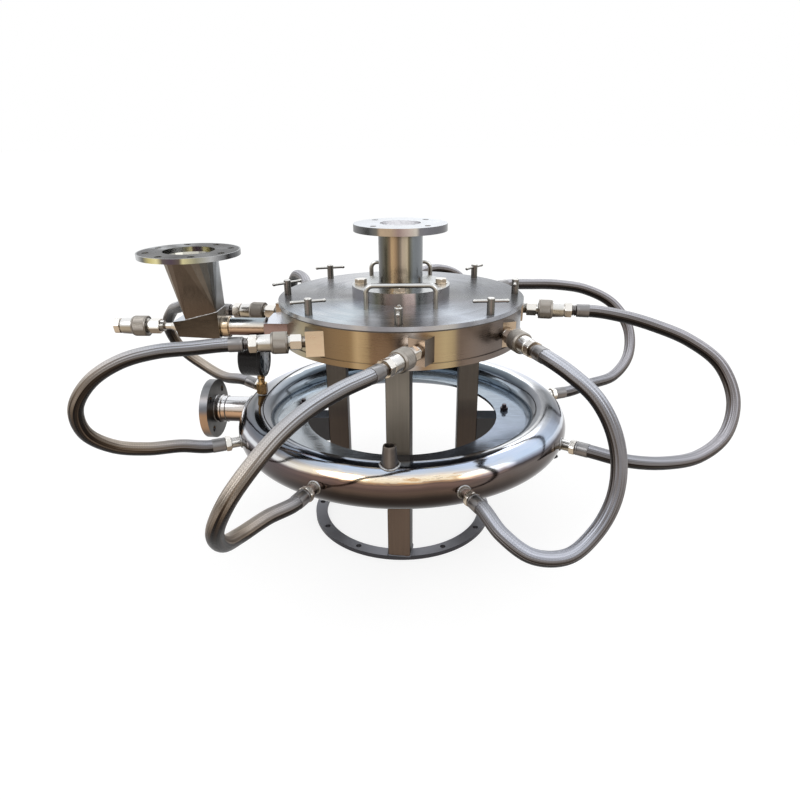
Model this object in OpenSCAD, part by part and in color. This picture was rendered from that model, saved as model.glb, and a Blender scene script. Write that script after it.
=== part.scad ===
// Spiral jet mill: a flat round grinding chamber with a lid, a ring-shaped air
// manifold under it, a feed injector with a hopper, and braided air hoses.
// The origin is the middle of the base ring's underside, +Z is up, and the
// front leg is toward -Y. Sizes are in millimetres.

/* [Stand] */
// base ring outer radius
base_r_out = 171; // [120:1:260]
// base ring inner radius
base_r_in = 149; // [90:1:230]
// base ring thickness
base_t = 8; // [4:0.5:20]
// radius of the circle of foot holes
foot_circle_r = 160; // [100:1:240]
// foot hole radius
foot_hole_r = 5; // [3:0.5:9]
// angle of the foot holes on each side of a leg
foot_hole_step = 28; // [20:1:40]
// leg tube width
leg_w = 39; // [25:1:60]
// leg tube wall
leg_wall = 3; // [2:0.5:6]
// distance of the front leg from the axis
leg_r_front = 151.5; // [100:0.5:200]
// distance of the side legs from the axis
leg_r_side = 147; // [100:0.5:200]
// turn of the whole stand
stand_turn = -1.5; // [-15:0.5:15]
// height of the side brackets
bracket_h = 50; // [20:1:90]
// thickness of the front bracket
bracket_t = 9; // [5:0.5:16]
// how far the side brackets end inside the manifold's centre line
bracket_inset = 13; // [5:1:40]
// how far the front bracket ends inside the manifold's centre line
front_inset = 27; // [5:1:40]
// how far the brackets rise around the manifold
bracket_rise = 2.5; // [1:0.5:6]

/* [Air manifold] */
// radius of the manifold's centre line
ring_r = 263; // [200:1:350]
// manifold tube outer radius
ring_tube_r = 35.3; // [20:0.1:50]
// manifold tube wall
ring_wall = 3; // [2:0.5:5]
// height of the manifold's centre line
ring_z = 204; // [150:1:300]
// radius of the hole in the manifold's plate
plate_hole_r = 175.6; // [150:0.1:220]
// thickness of the manifold's plate
plate_t = 5; // [3:0.5:10]
// distance of the plate bolts from the edge of the plate's hole
plate_bolt_gap = 16.4; // [10:0.1:30]
// plate bolt shank radius
plate_bolt_rod_r = 4; // [3:0.5:6]
// plate bolt head radius across the corners
plate_bolt_head_r = 7.5; // [5:0.5:10]
// plate bolt head height
plate_bolt_head_h = 6; // [3:0.5:10]

/* [Air inlet] */
// direction of the air inlet
inlet_turn = 174.5; // [150:0.5:200]
// inlet pipe outer radius
inlet_r = 24; // [15:0.5:35]
// inlet pipe wall
inlet_wall = 2.5; // [1.5:0.5:5]
// distance from the manifold's centre line to the back of the inlet flange
inlet_len = 93; // [60:1:160]
// inlet flange radius
inlet_flange_r = 56; // [40:1:90]
// inlet flange thickness
inlet_flange_t = 15; // [8:1:24]
// radius of the inlet flange's bolt circle
inlet_bolt_r = 42; // [30:1:70]
// inlet flange hole radius
inlet_hole_r = 6; // [4:0.5:9]
// radius of the weld collar on the inlet pipe
inlet_collar_r = 27; // [20:0.5:40]
// width of the weld collar
inlet_collar_w = 7; // [3:0.5:14]
// gap from the weld collar to the inlet flange
inlet_collar_gap = 6; // [2:0.5:14]

/* [Pressure gauge] */
// direction of the gauge on the manifold
gauge_turn = 175.6; // [150:0.1:200]
// direction the dial faces
gauge_face_turn = -6; // [-90:1:90]
// height of the dial's centre above the manifold's centre line
gauge_up = 105; // [80:1:150]
// case radius
gauge_r = 33; // [20:0.5:50]
// case depth
gauge_depth = 44; // [20:1:60]
// distance from the stem's axis to the front of the case
gauge_front = 12; // [8:0.5:24]
// case rim width
gauge_rim = 3; // [2:0.5:6]
// depth of the hollow for the dial
gauge_recess = 9; // [6:0.5:14]
// dial thickness
dial_t = 1; // [0.5:0.1:2]
// glass thickness
glass_t = 2; // [1:0.1:3]
// needle thickness
needle_t = 1; // [0.5:0.1:2]
// needle length from its pivot
needle_len = 22; // [12:1:28]
// needle width
needle_w = 2.4; // [1:0.1:5]
// needle hub radius
needle_hub_r = 3.4; // [2:0.1:6]
// pivot pin radius
pivot_r = 1; // [0.5:0.1:2]
// needle angle at rest from straight down, seen from the front
needle_rest = 45; // [0:1:90]
// stem radius
stem_r = 6; // [4:0.5:9]
// radius of the stem's nut across the corners
stem_nut_r = 10.5; // [7:0.5:14]
// height of the stem's nut
stem_nut_h = 13; // [6:0.5:20]
// height of the stem's foot above the manifold's centre line
stem_foot_z = 40; // [36:0.5:50]
// stem foot radius
stem_foot_r = 8; // [6:0.5:12]

/* [Spare socket] */
// direction of the spare socket on the manifold
spare_turn = 266; // [240:0.5:300]
// socket radius at its foot
spare_r_low = 13.5; // [8:0.5:20]
// socket radius at its mouth
spare_r_top = 9.5; // [6:0.5:16]
// socket bore radius
spare_bore_r = 7; // [4:0.5:12]
// height of the socket above the manifold's top
spare_h = 31; // [15:0.5:45]

/* [Chamber] */
// underside of the chamber
body_z = 365; // [300:1:420]
// chamber body outer radius
body_r = 207; // [150:1:260]
// height of the chamber body
body_h = 57; // [40:1:90]
// how far the lip stands out at the body's foot
lip_out = 2; // [1:0.5:6]
// height of that lip
lip_h = 9; // [4:0.5:16]
// chamber floor thickness
floor_t = 14; // [6:1:24]
// thickness of the chamber's wall
wall_t = 31; // [24:1:45]
// wall of the grinding ring
liner_t = 6; // [3:0.5:12]
// height of the grinding ring
liner_h = 34; // [20:1:60]
// gasket thickness
gasket_t = 3; // [1:0.5:6]
// width of the gasket
gasket_w = 31; // [20:1:45]

/* [Lid] */
// how far the lid stands out beyond the body
lid_over = 3; // [1:0.5:8]
// lid thickness
lid_t = 7; // [5:0.5:20]
// gap between the step under the lid and the grinding ring
spigot_play = 0.5; // [0.3:0.1:2]
// depth of the step under the lid
spigot_h = 9; // [4:0.5:20]
// distance of the lid screws from the body's outer wall
screw_inset = 10; // [8:0.5:16]
// turn of the circle of lid screws
screw_turn = -1.1; // [-20:0.1:20]
// lid screw radius
screw_r = 6; // [4:0.5:10]
// play between a screw and its hole
screw_play = 0.06; // [0.02:0.01:0.1]
// height of a screw above the lid
screw_up = 26; // [15:0.5:40]
// depth of a screw below the lid's top
screw_down = 28; // [20:1:50]
// radius of the screw's cross bar
bar_r = 2.5; // [1.5:0.5:4]
// length of the screw's cross bar
bar_len = 56; // [30:1:90]
// height of the cross bar above the lid
bar_up = 20.5; // [10:0.5:35]
// radius of the lid handles' rod
handle_rod_r = 4; // [2.5:0.5:7]
// half the width of a lid handle
handle_half_w = 55; // [35:1:80]
// height of a lid handle
handle_h = 41; // [25:1:70]
// distance of the lid handles from the foot flange
handle_gap = 21; // [10:1:40]
// bend radius of the lid handles
handle_bend_r = 11; // [6:0.5:20]

/* [Outlet] */
// outlet tube outer radius
outlet_r = 37.5; // [20:0.5:60]
// outlet tube wall
outlet_wall = 3; // [1.5:0.5:6]
// height of the outlet flange's top above the lid
outlet_rise = 120; // [80:1:200]
// how far the outlet tube reaches down below the lid's top
outlet_inside = 30; // [20:1:45]
// outlet flange radius
outlet_flange_r = 79; // [60:1:120]
// outlet flange thickness
outlet_flange_t = 12; // [6:0.5:24]
// radius of the outlet flange's bolt circle
outlet_bolt_circle_r = 62; // [45:1:100]
// outlet flange hole radius
outlet_hole_r = 5.5; // [3:0.5:9]
// radius of the flange at the tube's foot
foot_flange_r = 84; // [60:1:120]
// thickness of the flange at the tube's foot
foot_flange_t = 19; // [10:0.5:30]
// distance of its bolts from the axis
foot_bolt_circle_r = 69; // [50:1:100]
// foot bolt shank radius
foot_bolt_r = 5; // [3:0.5:8]
// foot bolt head radius across the corners
foot_bolt_head_r = 10.4; // [6:0.1:14]
// foot bolt head height
foot_bolt_head_h = 8; // [4:0.5:12]

/* [Feed injector] */
// direction of the feed injector
feed_turn = 177; // [165:0.5:190]
// distance of the feed line in front of the axis
feed_offset = 85; // [60:1:110]
// height of the feed line and of the air ports above the chamber's underside
port_up = 31; // [24:1:40]
// half the height of the feed block
feed_block_half_h = 10; // [8:0.5:18]
// how far the feed block's outer end lies beyond the chamber's radius
feed_block_out = 11; // [6:1:40]
// distance from the feed line to the feed block's front face
feed_block_front = 18; // [15:1:30]
// distance from the feed line to the block's outer corner at the back
feed_block_back = 50; // [30:1:70]
// run of the feed block's sloping corner
feed_block_slope = 25; // [10:1:40]
// radius of the feed way through the block, the wall and the grinding ring
feed_port_r = 7.5; // [4:0.5:10]
// feed pipe outer radius
feed_pipe_r = 14.5; // [9:0.5:20]
// feed pipe bore radius
feed_bore_r = 11.5; // [6:0.5:16]
// radius of the feed pipe's collar
feed_collar_r = 17.5; // [12:0.5:24]
// width of the feed pipe's collar
feed_collar_w = 13; // [5:0.5:20]
// distance from the chamber's radius to the injector box
box_near = 84; // [70:1:110]
// distance from the chamber's radius to the far end of the injector box
box_far = 159; // [140:1:190]
// distance from the chamber's radius to the lower far corner of the injector box
box_far_low = 152; // [130:1:185]
// half the width of the injector box
box_half_w = 22; // [16:0.5:32]
// top of the injector box above the feed line, at its near end
box_up = 29; // [22:1:40]
// top of the injector box above the feed line, at the duct's far side
box_mid_up = 16; // [14:1:34]
// top of the injector box above the feed line, at its far end
box_far_up = 13; // [10:1:24]
// underside of the injector box below the feed line, at its near end
box_down = 15; // [14:1:26]
// underside of the injector box below the feed line, at its far end
box_far_down = 12; // [11:1:24]
// sheet thickness of the box and the hopper duct
sheet_t = 3; // [1.5:0.5:5]
// distance from the chamber's radius to the near side of the duct's foot
duct_near = 85; // [72:1:112]
// distance from the chamber's radius to the far side of the duct's foot
duct_far = 137; // [120:1:150]
// duct radius at the hopper flange
duct_r = 43.5; // [30:0.5:60]
// thickness of the straight collars at the duct's two ends
duct_rim = 2; // [1:0.5:4]
// distance from the chamber's radius to the middle of the hopper flange
hopper_reach = 125; // [110:1:150]
// top of the hopper flange above the feed line
hopper_up = 124; // [90:1:180]
// hopper flange radius
hopper_flange_r = 80; // [60:1:120]
// hopper flange thickness
hopper_flange_t = 8; // [4:0.5:16]
// radius of the hopper flange's bolt circle
hopper_bolt_r = 65; // [50:1:100]
// hopper flange hole radius
hopper_hole_r = 5.5; // [3:0.5:9]
// air pipe radius behind the injector box
lance_r = 5; // [3:0.5:9]
// air bore radius in that pipe
lance_bore_r = 3; // [1.5:0.5:6]
// length of the cone between the box and the air pipe
lance_cone_len = 12; // [8:1:40]
// cone radius at the box
lance_cone_r = 10; // [7:0.5:16]
// length of the air pipe between the cone and the coupling
lance_len = 12; // [8:1:40]
// length of the air nozzle inside the box
lance_inside = 40; // [10:1:60]
// end nut length of the open coupling
end_nut_len = 9; // [5:0.5:16]

/* [Couplings] */
// ferrule length on the hose
ferrule_len = 22; // [15:1:45]
// ferrule outer radius
ferrule_r = 11.6; // [11.2:0.1:18]
// length of the neck behind the ferrule
neck_len = 8; // [3:0.5:14]
// radius of the neck behind the ferrule
neck_r = 8.5; // [6:0.5:11]
// length of the coupling's nut
nut_len = 12; // [8:0.5:20]
// radius of the coupling's nut across the corners
nut_r = 14; // [11:0.5:18]
// length of the coupling body between nut and sleeve
socket_len = 21; // [15:1:40]
// radius of the coupling body
socket_r = 13; // [11:0.1:18]
// length of the sliding sleeve
sleeve_len = 25; // [15:1:40]
// outer radius of the sliding sleeve
sleeve_r = 17; // [14.5:0.5:24]
// play between the sleeve and the coupling body
sleeve_play = 0.06; // [0.02:0.01:0.1]
// length of the throat between sleeve and port nut
throat_len = 4; // [3:0.5:12]
// radius of that throat
throat_r = 10; // [7:0.5:12.5]
// length of the port nut
port_nut_len = 17; // [8:0.5:22]
// radius of the port nut across the corners
port_nut_r = 13; // [11:0.5:18]
// length of the thread between port nut and port block
tail_len = 6; // [2:0.5:8]
// radius of the thread between port nut and port block
tail_r = 9; // [7:0.5:12]
// air bore radius through the fittings
air_bore_r = 5; // [3:0.5:7]
// width of a port block
port_block_w = 28; // [18:1:34]
// height of a port block
port_block_h = 40; // [30:1:56]
// length of a port block along its port
port_block_len = 60; // [40:1:80]
// radius of the jet nozzle inserts
jet_r = 6; // [4:0.5:8]
// jet bore radius
jet_bore_r = 1.5; // [0.8:0.1:3]
// length of the jet nozzle inserts
jet_len = 48; // [30:1:80]
// length of the weld nipples on the manifold
nipple_len = 25; // [12:1:40]
// radius of the weld nipples at the manifold
nipple_r = 9; // [6:0.5:14]
// length of the ferrules at the manifold end
low_ferrule_len = 22; // [12:1:40]
// tilt of the seventh hose's nipple
nipple_tilt = 15; // [0:1:40]
// length of the nut on a weld nipple
nipple_nut_len = 8.5; // [6:0.5:14]

/* [Hoses] */
// hose outer radius
hose_r = 11; // [6:0.5:16]

/* [Hidden] */
fn_big = 64;
fn_fine = 256;
fn_mid = 32;
fn_small = 20;
fn_tiny = 10;
fn_hose = 10;
cut = 1; // overrun of every cut
top_z = body_z + body_h + gasket_t + lid_t;
port_z = body_z + port_up;
well_r = body_r - wall_t;
liner_r_in = well_r - liner_t;
lip_r = body_r + lip_out;
gasket_r_in = body_r - gasket_w;
lid_r = body_r + lid_over;
spigot_r = liner_r_in - spigot_play;
screw_circle_r = body_r - screw_inset;
handle_y = foot_flange_r + handle_gap;
outlet_top_z = top_z + outlet_rise;
outlet_low_z = top_z - outlet_inside;
gauge_z = ring_z + gauge_up;
plate_bolt_r = plate_hole_r + plate_bolt_gap;
inlet_back = ring_r + inlet_len;
bracket_reach = ring_r - bracket_inset;
front_reach = ring_r - front_inset;
// where the feed line meets the inside of the grinding ring
feed_inner = sqrt(pow(liner_r_in, 2) - pow(feed_offset, 2)) - 2 * liner_t;
plate_top = ring_z + plate_t;
ring_low = ring_z - ring_tube_r;
leg_turns = [270 + stand_turn, 30 + stand_turn, 150 + stand_turn];
leg_rs = [leg_r_front, leg_r_side, leg_r_side];
screw_bars = [88, 2, 78, 50, 25, 14, 38, 18];
coupler_len = ferrule_len + neck_len + nut_len + socket_len + sleeve_len + throat_len
  + port_nut_len + tail_len;
sleeve_at = ferrule_len + neck_len + nut_len + socket_len;
barrel_share = 0.225;
barrel_r = socket_r + barrel_share * (sleeve_r - socket_r);
plate_bolt_turns = [1, 169];
end_share = 0.5;

// upper end of each hose and the direction in which it leaves
up_ends = [[-260, -172, 396], [-40, -314, 396], [202, -240, 396], [334, 12, 396],
  [221, 233, 396], [20, 314, 396], [-330, 42, 396], [-198, 241, 396]];
up_turns = [186, 237.5, 288, 348, 33, 65, 168, 105];
// lower end of each hose and the direction in which it leaves
low_ends = [[-320, -129, 204], [-151, -310, 204], [110, -327, 204], [307, -157, 204],
  [329, 103, 204], [146, 313, 204], [-317, 128, 225], [-162, 305, 204]];
low_turns = [202, 244, 295, 326, 20, 65, 163, 118];
low_tilts = [0, 0, 0, 0, 0, 0, nipple_tilt, 0];
// direction of the place where each upper end's line meets the chamber wall
wall_turns = [230, 278, 323, 11, 54, 99, 176, 144];
// chamber and manifold sizes for which the ends and routes are given
drawn_body_r = 207;
drawn_port_z = 396;
drawn_ring_out = 298.3;
drawn_ring_z = 204;
// points of the hose routes between their ends
route_1 = [
  [-313, -182, 394], [-361, -198, 394], [-408, -216, 385], [-450, -229, 360], [-479, -231, 318],
  [-481, -216, 271], [-455, -191, 236], [-413, -167, 219], [-367, -145, 213]];
route_2 = [
  [-78, -347, 389], [-114, -374, 375], [-146, -408, 357], [-172, -443, 335], [-199, -466, 301],
  [-219, -460, 258], [-222, -429, 220], [-213, -385, 202], [-185, -345, 203]];
route_3 = [
  [229, -278, 384], [260, -305, 358], [281, -324, 319], [289, -339, 274], [282, -353, 228],
  [258, -368, 189], [220, -384, 164], [172, -386, 166], [134, -365, 186]];
route_4 = [
  [388, -2, 390], [442, -21, 377], [497, -43, 356], [542, -69, 322], [559, -101, 271],
  [539, -134, 222], [489, -160, 195], [428, -176, 191], [366, -178, 196]];
route_5 = [
  [280, 259, 392], [342, 278, 386], [405, 283, 374], [462, 269, 346], [492, 238, 300],
  [485, 198, 250], [445, 160, 218], [387, 130, 211]];
route_6 = [
  [48, 356, 402], [88, 387, 402], [130, 405, 386], [166, 406, 345], [188, 399, 301],
  [188, 381, 255], [170, 353, 220]];
route_7 = [
  [-386, 58, 404], [-424, 98, 388], [-457, 148, 368], [-484, 184, 326], [-469, 204, 270],
  [-421, 194, 234], [-371, 159, 222]];
route_8 = [
  [-212, 286, 404], [-234, 327, 402], [-250, 362, 374], [-252, 377, 322], [-241, 378, 278],
  [-218, 366, 240], [-189, 341, 215]];
routes = [route_1, route_2, route_3, route_4, route_5, route_6, route_7, route_8];

// direction with a turn about Z and a tilt upward
function dir(a, t) = [cos(t) * cos(a), cos(t) * sin(a), sin(t)];
function unit(v) = v / norm(v);
// the ends and routes move with the chamber's and the manifold's size
function up_shift(i) = (body_r - drawn_body_r) * dir(wall_turns[i], 0) + [0, 0, port_z - drawn_port_z];
function low_shift(i) = (ring_r + ring_tube_r - drawn_ring_out)
  * unit([low_ends[i][0], low_ends[i][1], 0]) + [0, 0, ring_z - drawn_ring_z];
function up_end(i) = up_ends[i] + up_shift(i);
function low_end(i) = low_ends[i] + low_shift(i);
function path_of(i) = let (n = len(routes[i]))
  concat([up_end(i)],
    [for (k = [0 : n - 1]) let (t = (k + 1) / (n + 1))
      routes[i][k] + (1 - t) * up_shift(i) + t * low_shift(i)],
    [low_end(i)]);
// direction of the hose at each of its points
function tangent(i, p, k) =
  k == 0 ? dir(up_turns[i], 0) :
  k == len(p) - 1 ? -dir(low_turns[i], low_tilts[i]) :
  unit(unit(p[k + 1] - p[k]) + unit(p[k] - p[k - 1]));
// a sideways vector carried along the hose without twist
function side(i, p, k) =
  k == 0 ? unit(cross(tangent(i, p, 0), [0, 0, 1])) :
  let (s = side(i, p, k - 1), t = tangent(i, p, k)) unit(s - (s * t) * t);

module hose(i) {
  p = path_of(i);
  n = len(p);
  rings = [for (k = [0 : n - 1])
    let (t = tangent(i, p, k), s = side(i, p, k), u = cross(t, s))
    for (j = [0 : fn_hose - 1])
      p[k] + hose_r * (cos(360 * j / fn_hose) * s + sin(360 * j / fn_hose) * u)];
  sides = [for (k = [0 : n - 2]) for (j = [0 : fn_hose - 1])
    let (a = k * fn_hose + j, b = k * fn_hose + (j + 1) % fn_hose)
    for (f = [[a, b, b + fn_hose], [a, b + fn_hose, a + fn_hose]]) f];
  first = [[for (j = [0 : fn_hose - 1]) fn_hose - 1 - j]];
  last = [[for (j = [0 : fn_hose - 1]) (n - 1) * fn_hose + j]];
  color([0.62, 0.62, 0.6]) polyhedron(points = rings, faces = concat(first, sides, last));
}

// a round bar along X from one distance to another
module bar_x(from, to, r, r_end, fn) {
  translate([from, 0, 0])
    rotate([0, 90, 0])
      cylinder(h = to - from, r1 = r, r2 = r_end, $fn = fn);
}

// a hexagonal bar along X
module hex_x(from, to, r) {
  translate([from, 0, 0])
    rotate([0, 90, 0])
      linear_extrude(height = to - from)
        circle(r = r, $fn = 6);
}

// places its child at the upper end of a hose, with +X toward the chamber
module at_port(i) {
  translate(up_end(i))
    rotate([0, 0, up_turns[i] + 180])
      children();
}

// places its child at the lower end of a hose, with +X toward the manifold
module at_nipple(i) {
  translate(low_end(i))
    rotate([0, 0, low_turns[i] + 180])
      rotate([0, low_tilts[i], 0])
        children();
}

// places its child in the feed line, with +X outward
module at_feed() {
  translate([0, 0, port_z])
    rotate([0, 0, feed_turn])
      translate([0, feed_offset, 0])
        children();
}

// places its child in the feed line, measured from the chamber's radius
module at_feed_out() {
  at_feed()
    translate([body_r, 0, 0])
      children();
}

// places its child in the inlet line, with +X outward
module at_inlet() {
  translate([0, 0, ring_z])
    rotate([0, 0, inlet_turn])
      children();
}

module ring_solid(r) {
  translate([0, 0, ring_z])
    rotate_extrude($fn = fn_big)
      translate([ring_r, 0])
        circle(r = r, $fn = fn_small);
}

module base_ring() {
  color([0.45, 0.45, 0.47])
    difference() {
      cylinder(h = base_t, r = base_r_out, $fn = fn_big);
      translate([0, 0, -cut])
        cylinder(h = base_t + 2 * cut, r = base_r_in, $fn = fn_big);
      for (a = leg_turns, s = [-foot_hole_step, foot_hole_step, 60])
        rotate([0, 0, a + s])
          translate([foot_circle_r, 0, -cut])
            cylinder(h = base_t + 2 * cut, r = foot_hole_r, $fn = fn_small);
    }
}

module leg_tube(w, low, high) {
  translate([-w / 2, -w / 2, low])
    cube([w, w, high - low]);
}

module stand_legs() {
  color([0.45, 0.38, 0.33])
    for (i = [0 : 2])
      translate([leg_rs[i] * cos(leg_turns[i]), leg_rs[i] * sin(leg_turns[i]), 0])
        rotate([0, 0, stand_turn])
          difference() {
            leg_tube(leg_w, base_t, body_z);
            leg_tube(leg_w - 2 * leg_wall, base_t - cut, body_z + cut);
          }
}

// a closed box from a leg's outer face to a given distance
module bracket(i, way, reach, h) {
  x = leg_rs[i] * cos(leg_turns[i] - stand_turn);
  y = leg_rs[i] * sin(leg_turns[i] - stand_turn);
  side_on = abs(way[0]);
  start = side_on == 1 ? abs(x) + leg_w / 2 : abs(y) + leg_w / 2;
  rotate([0, 0, stand_turn])
    translate(side_on == 1 ? [0, y, 0] : [x, 0, 0])
      rotate([0, 0, side_on == 1 ? (way[0] > 0 ? 0 : 180) : 270])
        translate([start, -leg_w / 2, ring_low + bracket_rise - h])
          cube([reach - start, leg_w, h]);
}

module brackets() {
  color([0.5, 0.46, 0.42])
    difference() {
      union() {
        bracket(0, [0, -1], front_reach, bracket_t);
        bracket(1, [1, 0], bracket_reach, bracket_h);
        bracket(2, [-1, 0], bracket_reach, bracket_h);
      }
      ring_solid(ring_tube_r);
    }
}

module air_ring() {
  color([0.75, 0.77, 0.8])
    difference() {
      ring_solid(ring_tube_r);
      ring_solid(ring_tube_r - ring_wall);
      at_inlet()
        bar_x(ring_r, ring_r + ring_tube_r + cut, inlet_r - inlet_wall, inlet_r - inlet_wall, fn_mid);
      rotate([0, 0, spare_turn])
        translate([ring_r, 0, ring_z])
          cylinder(h = ring_tube_r + cut, r = spare_bore_r, $fn = fn_small);
      for (i = [0 : 7])
        at_nipple(i)
          bar_x(0, coupler_len / 2, air_bore_r, air_bore_r, fn_tiny);
    }
}

module ring_plate() {
  color([0.72, 0.74, 0.77])
    difference() {
      translate([0, 0, ring_z])
        cylinder(h = plate_t, r = ring_r - ring_tube_r / 2, $fn = fn_big);
      translate([0, 0, ring_z - cut])
        cylinder(h = plate_t + 2 * cut, r = plate_hole_r, $fn = fn_big);
      for (a = plate_bolt_turns)
        rotate([0, 0, a])
          translate([plate_bolt_r, 0, ring_z - cut])
            cylinder(h = plate_t + 2 * cut, r = plate_bolt_rod_r, $fn = fn_small);
      ring_solid(ring_tube_r);
    }
}

module plate_bolts() {
  color([0.35, 0.3, 0.27])
    for (a = plate_bolt_turns)
      rotate([0, 0, a])
        translate([plate_bolt_r, 0, 0]) {
          translate([0, 0, ring_z - 2 * plate_bolt_head_h])
            cylinder(h = plate_t + 4 * plate_bolt_head_h, r = plate_bolt_rod_r, $fn = fn_small);
          translate([0, 0, plate_top])
            cylinder(h = plate_bolt_head_h, r = plate_bolt_head_r, $fn = 6);
          translate([0, 0, ring_z - plate_bolt_head_h])
            cylinder(h = plate_bolt_head_h, r = plate_bolt_head_r, $fn = 6);
        }
}

module ring_nipples() {
  color([0.7, 0.7, 0.7])
    for (i = [0 : 7])
      difference() {
        at_nipple(i)
          union() {
            bar_x(low_ferrule_len, low_ferrule_len + nipple_len + nipple_r, nipple_r, nipple_r, fn_small);
            hex_x(low_ferrule_len, low_ferrule_len + nipple_nut_len, port_nut_r);
          }
        at_nipple(i)
          bar_x(low_ferrule_len - cut, coupler_len, air_bore_r, air_bore_r, fn_tiny);
        ring_solid(ring_tube_r);
      }
}

module inlet_pipe() {
  collar = inlet_back - inlet_collar_gap;
  color([0.72, 0.68, 0.62])
    difference() {
      at_inlet()
        difference() {
          union() {
            bar_x(ring_r, inlet_back, inlet_r, inlet_r, fn_mid);
            bar_x(collar - inlet_collar_w, collar, inlet_collar_r, inlet_collar_r, fn_mid);
          }
          bar_x(ring_r - cut, inlet_back + cut, inlet_r - inlet_wall, inlet_r - inlet_wall, fn_mid);
        }
      ring_solid(ring_tube_r);
    }
}

module inlet_flange() {
  color([0.7, 0.66, 0.6])
    at_inlet()
      difference() {
        bar_x(inlet_back, inlet_back + inlet_flange_t, inlet_flange_r, inlet_flange_r, fn_mid);
        bar_x(inlet_back - cut, inlet_back + inlet_flange_t + cut, inlet_r - inlet_wall,
          inlet_r - inlet_wall, fn_mid);
        for (a = [45 : 90 : 315])
          rotate([a, 0, 0])
            translate([0, inlet_bolt_r, 0])
              bar_x(inlet_back - cut, inlet_back + inlet_flange_t + cut, inlet_hole_r,
                inlet_hole_r, fn_small);
      }
}

module spare_socket() {
  color([0.7, 0.7, 0.7])
    difference() {
      rotate([0, 0, spare_turn])
        translate([ring_r, 0, ring_z + ring_tube_r - spare_bore_r])
          difference() {
            cylinder(h = spare_h + spare_bore_r, r1 = spare_r_low, r2 = spare_r_top, $fn = fn_small);
            translate([0, 0, -cut])
              cylinder(h = spare_h + spare_bore_r + 2 * cut, r = spare_bore_r, $fn = fn_small);
          }
      ring_solid(ring_tube_r);
    }
}

// places its child at the gauge, with +Z out of the dial and -Y down
module at_gauge() {
  translate([ring_r * cos(gauge_turn), ring_r * sin(gauge_turn), gauge_z])
    rotate([0, 0, gauge_face_turn + 90])
      rotate([90, 0, 0])
        children();
}

module gauge_stem() {
  color([0.7, 0.55, 0.32])
    difference() {
      rotate([0, 0, gauge_turn])
        translate([ring_r, 0, ring_z]) {
          translate([0, 0, ring_tube_r - stem_r])
            cylinder(h = stem_foot_z - ring_tube_r + stem_r, r = stem_foot_r, $fn = fn_small);
          translate([0, 0, stem_foot_z])
            cylinder(h = stem_nut_h, r = stem_nut_r, $fn = 6);
          translate([0, 0, stem_foot_z + stem_nut_h])
            cylinder(h = gauge_z - ring_z - stem_foot_z - stem_nut_h, r = stem_r, $fn = fn_small);
        }
      ring_solid(ring_tube_r);
      at_gauge()
        translate([0, 0, -gauge_depth])
          cylinder(h = 2 * gauge_depth, r = gauge_r, $fn = fn_mid);
    }
}

module gauge_case() {
  color([0.06, 0.06, 0.07])
    at_gauge()
      translate([0, 0, gauge_front - gauge_depth])
        difference() {
          cylinder(h = gauge_depth, r = gauge_r, $fn = fn_mid);
          translate([0, 0, gauge_depth - gauge_recess])
            cylinder(h = gauge_recess + cut, r = gauge_r - gauge_rim, $fn = fn_mid);
        }
}

module gauge_dial() {
  color([0.9, 0.9, 0.88])
    at_gauge()
      translate([0, 0, gauge_front - gauge_recess]) {
        cylinder(h = dial_t, r = gauge_r - gauge_rim, $fn = fn_mid);
        cylinder(h = dial_t + 2 * needle_t, r = pivot_r, $fn = fn_small);
      }
}

module gauge_needle() {
  color([0.1, 0.1, 0.1])
    at_gauge()
      translate([0, 0, gauge_front - gauge_recess + dial_t + needle_t * end_share])
        difference() {
          union() {
            cylinder(h = needle_t, r = needle_hub_r, $fn = fn_small);
            rotate([0, 0, 270 - needle_rest])
              translate([0, -needle_w / 2, 0])
                cube([needle_len, needle_w, needle_t]);
          }
          translate([0, 0, -cut])
            cylinder(h = needle_t + 2 * cut, r = pivot_r + screw_play, $fn = fn_small);
        }
}

module gauge_glass() {
  color([0.8, 0.9, 0.95, 0.4])
    at_gauge()
      translate([0, 0, gauge_front - glass_t])
        cylinder(h = glass_t, r = gauge_r - gauge_rim, $fn = fn_mid);
}

module chamber_body() {
  color([0.7, 0.62, 0.5])
    difference() {
      translate([0, 0, body_z])
        union() {
          cylinder(h = body_h, r = body_r, $fn = fn_big);
          cylinder(h = lip_h, r = lip_r, $fn = fn_big);
        }
      translate([0, 0, body_z + floor_t])
        cylinder(h = body_h, r = well_r, $fn = fn_big);
      for (k = [0 : 7])
        rotate([0, 0, 270 + screw_turn + 45 * k])
          translate([screw_circle_r, 0, top_z - screw_down - cut])
            cylinder(h = body_h, r = screw_r + screw_play, $fn = fn_small);
      for (i = [0 : 7])
        at_port(i)
          bar_x(coupler_len, coupler_len + port_block_len + jet_len, jet_r, jet_r, fn_small);
      at_feed()
        bar_x(feed_inner, body_r + cut, feed_port_r, feed_port_r, fn_small);
    }
}

module grinding_ring() {
  color([0.6, 0.6, 0.62])
    difference() {
      translate([0, 0, body_z + floor_t])
        cylinder(h = liner_h, r = well_r, $fn = fn_big);
      translate([0, 0, body_z + floor_t - cut])
        cylinder(h = liner_h + 2 * cut, r = well_r - liner_t, $fn = fn_big);
      for (i = [0 : 7])
        at_port(i)
          bar_x(coupler_len, coupler_len + port_block_len + jet_len, jet_r, jet_r, fn_small);
      at_feed()
        bar_x(feed_inner, body_r, feed_port_r, feed_port_r, fn_small);
    }
}

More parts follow.
